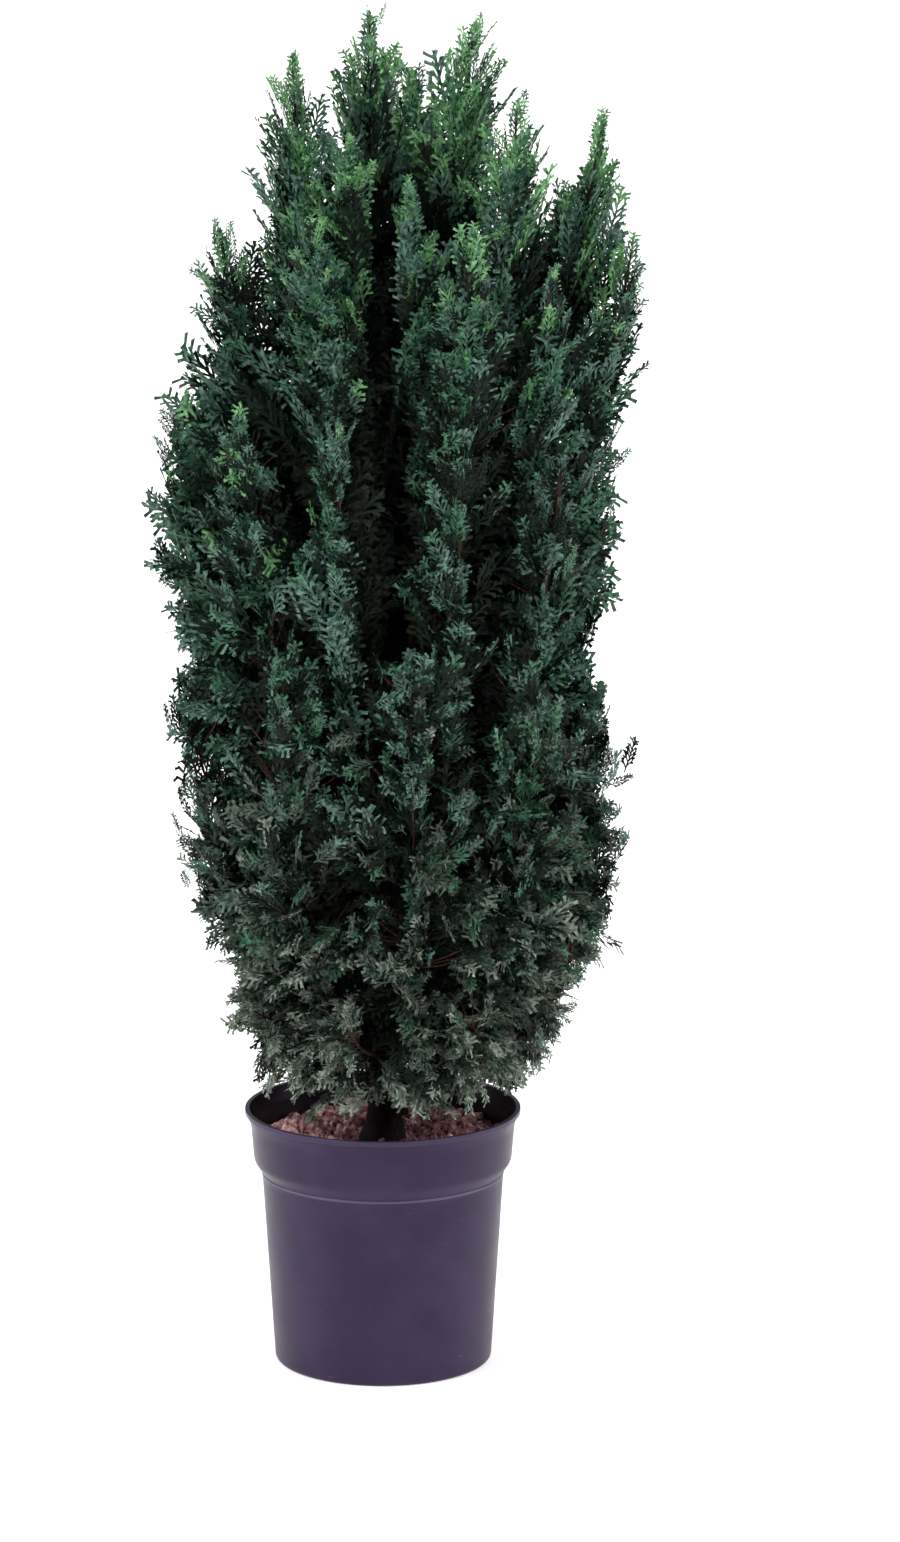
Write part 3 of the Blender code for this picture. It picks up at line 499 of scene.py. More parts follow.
@dataclass(frozen=True)
class PotFinish:
    """Injection-moulded polypropylene: purple-grey, soft sheen, faint dust, a few rubbed marks, painted
    highlight and painted shade inside.
    """

    name: str
    colour: str
    dusty: str
    # The rubbed colour also paints the highlight along the bead and the lip's edge; the inside colour is
    # painted shade.
    rubbed_and_highlight: str
    inside: str
    sheen: str = "e8daf6"
    # Clouds of dust 45 mm apart, rubs 17 mm long and 2.4 mm high, and a grain of 1.1 mm from the mould.
    cloud_mm: float = MM_PER_METRE / 22.0
    rub_mm: tuple[float, float] = (MM_PER_METRE / 60.0, MM_PER_METRE / 420.0)
    skin_mm: float = MM_PER_METRE / 900.0

    def material(self) -> bpy.types.Material:
        """Return the material: an even plastic, clouded by dust, with short level rubs, a painted highlight
        and painted shade inside.

        Returns:
            The new material, which reads two attributes of the mesh: the shares of painted highlight and of
            painted shade inside.
        """
        material, shader = new_material(self.name, {
            "Specular IOR Level": 0.38, "IOR": 1.49, "Specular Tint": linear(self.sheen),
        })
        tree = material.node_tree
        place = add_node(tree, "ShaderNodeTexCoord").outputs["Object"]
        cloud = add_node(tree, "ShaderNodeTexNoise", {
            "Vector": place, "Scale": MM_PER_METRE / self.cloud_mm, "Detail": 5.0,
        })
        dust = add_node(tree, "ShaderNodeValToRGB", {"Fac": cloud.outputs["Fac"]},
                        stops=((0.42, self.colour), (0.78, self.dusty)))
        along, across = (MM_PER_METRE / size for size in self.rub_mm)
        drawn = add_node(tree, "ShaderNodeMapping", {"Vector": place, "Scale": (along, along, across)})
        rub = add_node(tree, "ShaderNodeTexNoise", {"Vector": drawn.outputs[0], "Scale": 1.0, "Detail": 2.0})
        mark = add_node(tree, "ShaderNodeMapRange", {
            "Value": rub.outputs["Fac"], "From Min": 0.72, "From Max": 0.80, "To Min": 0.0, "To Max": 0.35,
        })
        worn = add_node(tree, "ShaderNodeAttribute", attribute_name="worn")
        inner_shade = add_node(tree, "ShaderNodeAttribute", attribute_name="inside")
        colour = dust.outputs["Color"]
        # Over the dust go the rubs, the painted highlight, and the painted shade on the inner wall.
        for share, over in ((mark.outputs[0], self.rubbed_and_highlight), (worn.outputs["Fac"], self.rubbed_and_highlight),
                            (inner_shade.outputs["Fac"], self.inside)):
            mixed = add_node(tree, "ShaderNodeMix", {0: share, 6: colour, 7: linear(over)}, data_type="RGBA")
            colour = mixed.outputs[2]
        tree.links.new(colour, shader.inputs["Base Color"])
        gloss = add_node(tree, "ShaderNodeMapRange", {
            "Value": cloud.outputs["Fac"], "From Min": 0.3, "From Max": 0.7, "To Min": 0.28, "To Max": 0.42,
        })
        tree.links.new(gloss.outputs[0], shader.inputs["Roughness"])
        skin = add_node(tree, "ShaderNodeTexNoise", {
            "Vector": place, "Scale": MM_PER_METRE / self.skin_mm, "Detail": 2.0,
        })
        bump = add_node(tree, "ShaderNodeBump", {
            "Height": skin.outputs["Fac"], "Strength": 0.12, "Distance": 0.0004,
        })
        tree.links.new(bump.outputs["Normal"], shader.inputs["Normal"])
        return material


class Tone(Enum):
    """The colours of foliage, each a finish of its own and dealt out by spray."""

    # This year's tips in the sun: a light, warm green.
    FRESH = LeafFinish("Scale leaves, new growth", "3a6e42", "88be82", 0.45)
    # Grown leaves: the plain green of most of the plant.
    LEAF = LeafFinish("Scale leaves, green", "1d3a2b", "56896a", 0.40)
    # Grown leaves under a thin wax bloom, which turns them blue-green.
    SEA = LeafFinish("Scale leaves, blue-green with bloom", "243f36", "6b9181", 0.44)
    # Leaves on the plumes' sides and at the sprays' bases: nearly black green as painted shade, with little
    # gloss.
    DEEP = LeafFinish("Scale leaves, old dark green", "0b150f", "172b1e", 0.5, 0.2)
    # Low leaves that get little light: a dull grey olive.
    OLIVE = LeafFinish("Scale leaves, dull olive", "28352b", "5c7060", 0.52)
    # The lowest tips, dulled by dust and bloom and made paler as painted light on the skirt: a pale grey
    # green.
    PALE = LeafFinish("Scale leaves, dull with pale bloom", "475248", "96a392", 0.48)
    # A few tips that die back: brown, quite dull.
    RUST = LeafFinish("Scale leaves, browning", "221e14", "524837", 0.7)
    # Dead brush inside the crown, and the sprays in the hollows: near black as painted shade, without gloss.
    SHADE = LeafFinish("Scale leaves, dead inside the crown", "151b14", "2a3229", 0.9, 0.05)


# The trunk's bark: almost black, partly as painted shade of the crown over it, brown where a strip lifts.
SHADED_TRUNK_BARK = bark_finish("Old stringy bark", "050303", "140c0a", "2e1e1b")
# The boughs' bark: red-brown strips over dark grooves.
RED_BARK = bark_finish("Red-brown stringy bark", "0c0605", "351d19", "6b453e")
# The twigs' bark, still thin: warmer and finer in its strips.
TWIG_BARK = bark_finish("Young red-brown bark", "150b07", "3a2118", "6b4a3c", 1.5)
# The bed: grains of about 2 mm, drawn 9 mm across so that they show as clods, near black as painted shade in
# their hollows.
PEAT = peat_finish("Dried peat", "140a0b", "6b474a", "c69a9c", 9.0)
# Loose crumbs, dried paler than the bed. Each is smaller than its grain, so it has about one colour.
CRUMB = peat_finish("Peat crumbs", "3a2325", "a57779", "ecc3c0", 12.0)
# Straws and fibres: pale tan.
FIBRE = peat_finish("Peat fibres", "7a584e", "c8a38f", "efd9c0", 4.0)
# The pot: a dark purple plastic, paler where it is dusty or rubbed, with a painted highlight along the bead
# and the lip's edge, and near black inside as painted shade.
PLASTIC = PotFinish("Moulded pot plastic", "271b36", "352849", "70657f", "07060a")


# Pot and soil


@dataclass
class Pot:
    """The nursery pot: one turned shell with a step, a plain band and a rolled lip."""

    height: float = 0.2445
    rim_radius: float = 0.130
    base_radius: float = 0.1026
    wall: float = 0.0022
    base_rounding: float = 0.005
    step_z: float = 0.1815
    step_radius: float = 0.1137
    shoulder_z: float = 0.1945
    shoulder_radius: float = 0.1215
    band_radius: float = 0.1245
    lip_height: float = 0.005
    lip_fall: float = 0.010
    lip_flare: float = 0.0022
    undercut: float = 0.0009
    bead: float = 0.0007
    # Shares of the pale colour painted on as highlight at the bead and at the lip's edge.
    bead_highlight: float = 0.5
    lip_highlight: float = 0.12
    lip_edge: float = 0.0006
    steps: int = 120
    longest_rounding: float = 0.45
    support_share: float = 0.2
    rounding_points: int = 6

    def corners(self) -> list[tuple[float, float, float]]:
        """Return the profile's corners from the floor's centre over the lip and under the base.

        Returns:
            Radius, height and rounding of each corner.
        """
        lip_foot = self.height - self.lip_height
        flare_foot = lip_foot - self.lip_fall
        slope = (self.step_radius - self.base_radius) / (self.step_z - self.base_rounding)
        foot = self.base_radius - slope * self.base_rounding
        wall = self.wall
        return [
            (0.0, wall, 0.0),
            (foot - wall, wall, 0.004),
            (self.step_radius - wall, self.step_z, 0.002),
            (self.shoulder_radius - wall, self.shoulder_z, 0.003),
            (self.band_radius - wall, flare_foot, 0.002),
            (self.rim_radius - self.lip_flare - wall, self.height, 0.0006),
            (self.rim_radius, self.height, 0.0010),
            (self.rim_radius, lip_foot, 0.0010),
            (self.rim_radius - self.lip_flare, lip_foot - self.undercut, 0.0004),
            (self.band_radius, flare_foot, 0.0060),
            (self.shoulder_radius, self.shoulder_z, 0.0035),
            (self.step_radius + self.bead * 0.2, self.step_z + self.bead * 2.6, 0.0010),
            (self.step_radius + self.bead, self.step_z + self.bead * 1.6, 0.0006),
            (self.step_radius + self.bead, self.step_z - self.bead, 0.0008),
            (self.step_radius, self.step_z - self.bead * 6.0, 0.0015),
            (foot, 0.0, self.base_rounding),
            (0.0, 0.0, 0.0),
        ]

    def profile(self) -> list[tuple[float, float]]:
        """Return the profile with its corners rounded and a support ring beside each.

        Returns:
            Radius and height of each point.
        """
        corners = [(Vector((radius, z)), rounding) for radius, z, rounding in self.corners()]
        points = [corners[0][0]]
        for (before, _), (corner, rounding), (after, _) in zip(corners, corners[1:], corners[2:]):
            back, ahead = before - corner, after - corner
            longest = self.longest_rounding
            reach = min(rounding, back.length * longest, ahead.length * longest)
            start = corner + back.normalized() * reach
            end = corner + ahead.normalized() * reach
            points.append(start + back.normalized() * reach * self.support_share)
            for k in range(self.rounding_points):
                points.append(bezier((start, corner, end), k / (self.rounding_points - 1)))
            points.append(end + ahead.normalized() * reach * self.support_share)
        points.append(corners[-1][0])
        return [(point.x, point.y) for point in points]

    def painted_highlight(self, radius: float, z: float) -> float:
        """Return how much painted highlight a place outside takes: a pale line along the bead and the lip's
        edge.

        Args:
            radius: how far out the place is.
            z: its height.

        Returns:
            The share of the pale colour there, as painted highlight, from 0 to 1.
        """
        if -1.2 * self.bead < z - self.step_z < 2.2 * self.bead:
            return self.bead_highlight
        return self.lip_highlight if radius > self.rim_radius - self.lip_edge else 0.0

    def build(self) -> bpy.types.Object:
        """Return the pot, turned from its profile, with its poles closed by one point each.

        Returns:
            The piece, with two point attributes: painted shade inside, and painted highlight along the bead
                and the lip's edge.
        """
        profile = self.profile()
        rings = profile[1:-1]
        points = [point for radius, z in rings for point in ring_points(radius, z, self.steps)]
        points += [(0.0, 0.0, profile[0][1]), (0.0, 0.0, profile[-1][1])]
        faces = ring_faces(0, len(rings) - 1, self.steps)
        last = (len(rings) - 1) * self.steps
        for step in range(self.steps):
            after = (step + 1) % self.steps
            faces += [(step, after, len(points) - 2), (last + after, last + step, len(points) - 1)]
        mesh = bpy.data.meshes.new("pot_shell")
        mesh.from_pydata(points, [], faces)
        mesh.shade_smooth()
        # Inside the brim the wall takes near-black painted shade; outside, the bead and the lip's edge take
        # painted highlight.
        brim = max(range(len(rings)), key=lambda number: rings[number][1])
        inside = [float(number < brim) for number in range(len(rings))]
        worn = [self.painted_highlight(*ring) if number >= brim else 0.0 for number, ring in enumerate(rings)]
        for name, values, poles in (("inside", inside, [1.0, 0.0]), ("worn", worn, [0.0, 0.0])):
            by_point = [value for value in values for _ in range(self.steps)]
            mesh.attributes.new(name, "FLOAT", "POINT").data.foreach_set("value", by_point + poles)
        return new_piece("pot_shell", mesh, PLASTIC.material())

    def dress(self) -> None:
        """Build the pot and hand it over."""
        hand_over(self.build(), ("pot",))


@dataclass
class Soil:
    """The peat in the pot: level round the trunk, lumpy outside and heaped in front."""

    pot: Pot
    edge_z: float = 0.212
    seat_z: float = 0.209
    seat_radius: float = 0.036
    lump_size: float = 0.032
    lump_height: float = 0.006
    front_heap: float = 0.010
    heap_inner: float = 0.055
    # Place to the right and to the back, size and height of each heap.
    heaps: tuple[tuple[float, float, float, float], ...] = (
        (-0.068, -0.026, 0.036, 0.024), (0.050, -0.074, 0.032, 0.013), (0.010, 0.085, 0.045, 0.008),
    )
    clod_size: float = 0.018
    clod_height: float = 0.0075
    wall_gap: float = 0.0004
    low_gap: float = 0.0006
    depth_above_step: float = 0.004
    rings: int = 56
    steps: int = 150
    strewn_rings: int = 14
    strewn_steps: int = 48
    strewn_inner: float = 0.022
    strewn_margin: float = 0.028
    strewn_lift: float = 0.0004

    def height(self, x: float, y: float) -> float:
        """Return the peat's height at a place, as the solid's with clods on it.

        Args:
            x: place to the right.
            y: place to the back.

        Returns:
            The height.
        """
        distance = math.hypot(x, y)
        outside = min(1.0, max(0.0, (distance - self.seat_radius) / self.seat_radius))
        lumps = noise.noise(Vector((x, y, 0.0)) / self.lump_size)
        far_out = (distance - self.heap_inner) / (self.pot.band_radius - self.heap_inner)
        heap = self.front_heap * max(0.0, -y / self.pot.band_radius) * min(1.0, max(0.0, far_out))
        edge = self.seat_z + outside * (self.edge_z - self.seat_z)
        clods = noise.fractal(Vector((x, y, 0.3)) / self.clod_size, 0.9, 2.0, 4)
        for heap_x, heap_y, size, top in self.heaps:
            heap += top * math.exp(-((x - heap_x) ** 2 + (y - heap_y) ** 2) / (size * size))
        return edge + outside * (self.lump_height * lumps + heap) + clods * self.clod_height

    def wall_radius(self, z: float) -> float:
        """Return the radius of the pot's inside at a height, less a hair.

        Args:
            z: the height.

        Returns:
            The radius.
        """
        lip_foot = self.pot.height - self.pot.lip_height
        share = (z - self.pot.shoulder_z) / (lip_foot - self.pot.shoulder_z)
        outer = self.pot.shoulder_radius + share * (self.pot.band_radius - self.pot.shoulder_radius)
        return outer - self.pot.wall - self.wall_gap

    def build_bed(self) -> bpy.types.Object:
        """Return the bed: a closed plug with its top in clods, its sides down the pot's wall.

        Returns:
            The piece.
        """
        points = [(0.0, 0.0, self.height(0.0, 0.0))]
        edge = self.wall_radius(self.edge_z)
        for ring in range(1, self.rings + 1):
            for x, y, _ in ring_points(edge * ring / self.rings, 0.0, self.steps):
                z = self.height(x, y)
                wider = self.wall_radius(z) / edge if ring == self.rings else 1.0
                points.append((x * wider, y * wider, z))
        low_z = self.pot.step_z + self.depth_above_step
        share = (low_z - self.pot.step_z) / (self.pot.shoulder_z - self.pot.step_z)
        low_radius = self.pot.step_radius + share * (self.pot.shoulder_radius - self.pot.step_radius)
        points += ring_points(low_radius - self.pot.wall - self.low_gap, low_z, self.steps)
        points.append((0.0, 0.0, low_z))
        faces = ring_faces(1, self.rings, self.steps)
        foot = 1 + self.rings * self.steps
        for step in range(self.steps):
            after = (step + 1) % self.steps
            faces += [(0, 1 + step, 1 + after), (foot + step, len(points) - 1, foot + after)]
        mesh = bpy.data.meshes.new("peat_bed")
        mesh.from_pydata(points, [], faces)
        mesh.shade_smooth()
        return new_piece("peat_bed", mesh, PEAT.material())

    def top_mesh(self) -> bpy.types.Mesh:
        """Return a coarse open sheet of the bed's top, clear of the trunk and the wall, to strew bits on.

        Returns:
            The sheet's mesh.
        """
        points = []
        width = self.wall_radius(self.edge_z) - self.strewn_margin
        for ring in range(self.strewn_rings + 1):
            radius = self.strewn_inner + width * ring / self.strewn_rings
            for x, y, _ in ring_points(radius, 0.0, self.strewn_steps):
                points.append((x, y, self.height(x, y) + self.strewn_lift))
        mesh = bpy.data.meshes.new("peat_top")
        mesh.from_pydata(points, [], ring_faces(0, self.strewn_rings, self.strewn_steps))
        return mesh

    def dress(self) -> None:
        """Build the bed, its crumbs and its fibres, and hand them over."""
        hand_over(self.build_bed(), ("soil",))
        tree = scatter_tree()
        crumbs = run_tree("peat_crumbs", self.top_mesh(), tree, {
            "Density": 30000.0, "Smallest": 0.0008, "Largest": 0.0062, "Stretch": 1.6, "Tilt": 3.1,
            "Seed": 4, "Matter": CRUMB.material(),
        })
        hand_over(crumbs)
        fibres = run_tree("peat_fibres", self.top_mesh(), tree, {
            "Density": 21000.0, "Smallest": 0.00035, "Largest": 0.0008, "Stretch": 14.0, "Tilt": 0.45,
            "Seed": 9, "Matter": FIBRE.material(),
        })
        hand_over(fibres)


# Trunk, boughs and stems


@dataclass
class Trunk:
    """The trunk: a flared foot on the peat, a lean to the right and a slow sway."""

    tip: Vector = field(default_factory=lambda: Vector((0.040, 0.004, 0.955)))
    foot_z: float = 0.2093
    foot_radius: float = 0.0140
    tip_radius: float = 0.0040
    flare: float = 0.011
    flare_height: float = 0.045
    flare_fall: float = 2.2
    sway: float = 0.010
    side_sway: float = 0.006
    points: int = 40
    crowding: float = 1.4

    def share(self, z: float) -> float:
        """Return how far up the trunk a height lies, from 0 to 1."""
        return min(1.0, max(0.0, (z - self.foot_z) / (self.tip.z - self.foot_z)))

    def point(self, z: float) -> Vector:
        """Return the centre of the trunk at a height.

        Args:
            z: the height.

        Returns:
            The point.
        """
        share = self.share(z)
        middle = Vector((0.0, 0.0, self.foot_z)).lerp(self.tip, share)
        swing = math.sin(share * math.tau) * share
        return Vector((middle.x - self.sway * swing, middle.y + self.side_sway * swing, z))

    def radius(self, z: float) -> float:
        """Return the trunk's radius at a height."""
        flare = self.flare * math.exp(-(z - self.foot_z) / self.flare_height * self.flare_fall)
        return self.foot_radius + self.share(z) * (self.tip_radius - self.foot_radius) + flare

    def dress(self, tree: bpy.types.NodeTree) -> None:
        """Build the trunk's bark and hand it over.

        Args:
            tree: the bark tube tree.
        """
        rise = self.tip.z - self.foot_z
        heights = [self.foot_z + rise * (i / (self.points - 1)) ** self.crowding for i in range(self.points)]
        route = ([self.point(z) for z in heights], [self.radius(z) for z in heights])
        bark = run_tree("trunk_bark", route_mesh("trunk_route", [route]), tree, {
            "Sides": 30, "Step": 0.004, "Relief": 0.0034, "Strips round": 260.0, "Strips along": 34.0,
            "Bark": SHADED_TRUNK_BARK.material(),
        })
        hand_over(bark, ("trunk",))


@dataclass(frozen=True)
class SprayShape:
    """The outline of one flat spray: a midrib, side shoots on both sides and blunt fingers on those.

    Lengths and places are shares of the spray's length.
    """

    pairs: int
    spread: float
    finger: float
    finger_width: float
    root_angle: float = 44.0
    tip_angle: float = 24.0
    finger_every: float = 0.10
    toss: float = 0.14
    roll: float = 0.35
    root_half: float = 0.3
    end_half: float = 0.42
    least_slant: float = 0.82
    midrib_step: float = 0.32
    midrib_part: float = 0.36
    midrib_parts: int = 3
    first_shoot: float = 0.08
    last_shoot: float = 0.94
    tips_from: float = 0.70
    outer_from: float = 0.15
    finger_turn: Range = (32.0, 46.0)

    def kites(self, draw: random.Random) -> tuple[np.ndarray, np.ndarray]:
        """Return the spray's faces, for a spray one long that lies along +X.

        Args:
            draw: the seeded source of the variant's small differences.

        Returns:
            An array of faces by four corners by x, y and z, and for each face whether it is a tip.
        """
        faces, tips = [], []

        def add(x: float, y: float, angle: float, length: float, width: float, is_tip: bool) -> None:
            """Add one shoot: a strip a little narrower at its root, with a blunt slanting end.

            Args:
                x: place of its root along the spray.
                y: place of its root across the spray.
                angle: the turn of the shoot from +X, in radians.
                length: its length.
                width: its width.
                is_tip: whether it takes the tips' colour.
            """
            cos, sin = math.cos(angle), math.sin(angle)
            toss = draw.uniform(-self.toss, self.toss) * length
            roll = draw.uniform(-self.roll, self.roll) * width
            slant = draw.uniform(self.least_slant, 1.0)
            face = []
            for along, across, lift in ((0.0, -self.root_half, 0.0), (slant, -self.end_half, toss - roll),
                                        (1.0 + self.least_slant - slant, self.end_half, toss + roll),
                                        (0.0, self.root_half, 0.0)):
                forward, aside = length * along, width * across
                face.append((x + cos * forward - sin * aside, y + sin * forward + cos * aside, lift))
            faces.append(tuple(face))
            tips.append(is_tip)

        width = self.finger_width * 0.9
        for i in range(self.midrib_parts):
            add(self.midrib_step * i, 0.0, draw.uniform(-0.04, 0.04), self.midrib_part, width,
                i == self.midrib_parts - 1)
        count = self.pairs * 2
        span = self.last_shoot - self.first_shoot
        for i in range(count):
            share = self.first_shoot + span * (i + draw.uniform(0.2, 0.8)) / count
            side = 1.0 if i % 2 else -1.0
            profile = min(1.0, 0.45 + 2.2 * share) * (1.0 - share) ** 0.75 * 1.15
            length = self.spread * profile * draw.uniform(0.85, 1.15)
            angle = math.radians(self.root_angle + share * (self.tip_angle - self.root_angle))
            angle = side * (angle + draw.uniform(-0.1, 0.1))
            add(share, 0.0, angle, length, width, share > self.tips_from)
            fingers = int(round(length / self.finger_every - 0.4))
            for j in range(fingers):
                along = length * (0.22 + 0.66 * (j + 0.5) / fingers)
                turn = angle + (1.0 if (i + j) % 2 else -1.0) * math.radians(draw.uniform(*self.finger_turn))
                size = self.finger * (1.1 - 0.45 * along / self.spread) * draw.uniform(0.85, 1.15)
                add(share + math.cos(angle) * along, math.sin(angle) * along, turn, size, self.finger_width,
                    j >= fingers - 1 and share > self.outer_from)
        return np.array(faces), np.array(tips)


class SprayKind(Enum):
    """The kinds of spray: the usual fan, the spiky low one, the plumes' slim one and the coarse inner one."""

    FAN = SprayShape(pairs=7, spread=0.36, finger=0.130, finger_width=0.064, root_angle=40.0, tip_angle=20.0,
                     finger_every=0.115, toss=0.14)
    FROND = SprayShape(pairs=7, spread=0.42, finger=0.165, finger_width=0.056, root_angle=37.0,
                       tip_angle=15.0, finger_every=0.13, toss=0.20)
    PLUME = SprayShape(pairs=8, spread=0.36, finger=0.115, finger_width=0.044, root_angle=38.0,
                       tip_angle=20.0, toss=0.07)
    COARSE = SprayShape(pairs=4, spread=0.46, finger=0.20, finger_width=0.085, finger_every=0.24)


@dataclass(frozen=True)
class Tier:
    """What the plumes of one height have in common: the source's rule, carried to finer twigs."""

    rise_angle: float
    roll: float
    droop: float
    widest: float
    twigs: int
    curl: float
    bend: float
    face_up: float
    spray: float
    tip_width: float
    past_tip: float
    open_from: float
    margin: float
    low_kind: SprayKind
    high_kind: SprayKind


TOP = Tier(
    rise_angle=math.radians(24), roll=0.9, droop=0.0, widest=0.36, twigs=50, curl=0.30, bend=0.10,
    face_up=0.0, spray=0.078, tip_width=0.22, past_tip=0.010, open_from=-0.12, margin=-0.06,
    low_kind=SprayKind.PLUME, high_kind=SprayKind.PLUME,
)
UPPER = Tier(
    rise_angle=math.radians(28), roll=0.9, droop=0.0, widest=0.32, twigs=52, curl=0.25, bend=0.05,
    face_up=0.1, spray=0.070, tip_width=0.24, past_tip=0.025, open_from=0.2, margin=-0.08,
    low_kind=SprayKind.PLUME, high_kind=SprayKind.PLUME,
)
MIDDLE = Tier(
    rise_angle=math.radians(32), roll=1.1, droop=0.0, widest=0.28, twigs=64, curl=0.10, bend=-0.20,
    face_up=0.35, spray=0.064, tip_width=0.32, past_tip=0.045, open_from=0.35, margin=-0.06,
    low_kind=SprayKind.FROND, high_kind=SprayKind.PLUME,
)
LOWER = Tier(
    rise_angle=math.radians(34), roll=1.35, droop=0.02, widest=0.30, twigs=88, curl=-0.05, bend=-0.6,
    face_up=0.8, spray=0.053, tip_width=0.60, past_tip=0.080, open_from=0.3, margin=0.08,
    low_kind=SprayKind.FROND, high_kind=SprayKind.FAN,
)
SKIRT = Tier(
    rise_angle=math.radians(46), roll=1.3, droop=0.16, widest=0.36, twigs=56, curl=-0.25, bend=-0.7,
    face_up=1.0, spray=0.048, tip_width=0.60, past_tip=0.050, open_from=-0.15, margin=0.06,
    low_kind=SprayKind.FROND, high_kind=SprayKind.FROND,
)


@dataclass(frozen=True)
class Palette:
    """The tones of the foliage up to one height: those of a spray's body and of its tips, with weights."""

    up_to: float
    body: tuple[tuple[Tone, int], ...]
    tips: tuple[tuple[Tone, int], ...]
    half_shade_tip: Tone


# In the bodies the dark DEEP tone is painted shade at the sprays' bases, under tips that are partly new
# growth and partly painted light; the lowest palette's many pale tones are partly painted light on the skirt,
# which lies in the crown's shade.
PALETTES = (
    Palette(0.38, ((Tone.OLIVE, 6), (Tone.PALE, 6), (Tone.DEEP, 1)),
            ((Tone.PALE, 14), (Tone.OLIVE, 2), (Tone.RUST, 1)), Tone.PALE),
    Palette(0.48, ((Tone.OLIVE, 6), (Tone.LEAF, 2), (Tone.PALE, 1), (Tone.DEEP, 7)),
            ((Tone.PALE, 4), (Tone.OLIVE, 6), (Tone.SEA, 3)), Tone.OLIVE),
    Palette(0.60, ((Tone.OLIVE, 3), (Tone.LEAF, 3), (Tone.DEEP, 9)),
            ((Tone.PALE, 1), (Tone.OLIVE, 4), (Tone.LEAF, 3), (Tone.SEA, 4)), Tone.OLIVE),
    Palette(0.84, ((Tone.LEAF, 3), (Tone.SEA, 2), (Tone.DEEP, 7)),
            ((Tone.LEAF, 5), (Tone.SEA, 6)), Tone.LEAF),
    Palette(1.02, ((Tone.LEAF, 4), (Tone.SEA, 2), (Tone.DEEP, 7)),
            ((Tone.FRESH, 2), (Tone.LEAF, 4), (Tone.SEA, 4)), Tone.LEAF),
    Palette(9.99, ((Tone.LEAF, 5), (Tone.SEA, 2), (Tone.DEEP, 1), (Tone.FRESH, 6)),
            ((Tone.FRESH, 10), (Tone.LEAF, 2), (Tone.SEA, 1)), Tone.LEAF),
)


@dataclass(frozen=True)
class Plan:
    """One mass of foliage: where its tip stands, how tall and wide it is and how far out it roots."""

    name: str
    tier: Tier
    tip: tuple[float, float, float]
    height: float
    half_width: float
    foot_reach: float
    has_bough: bool = False


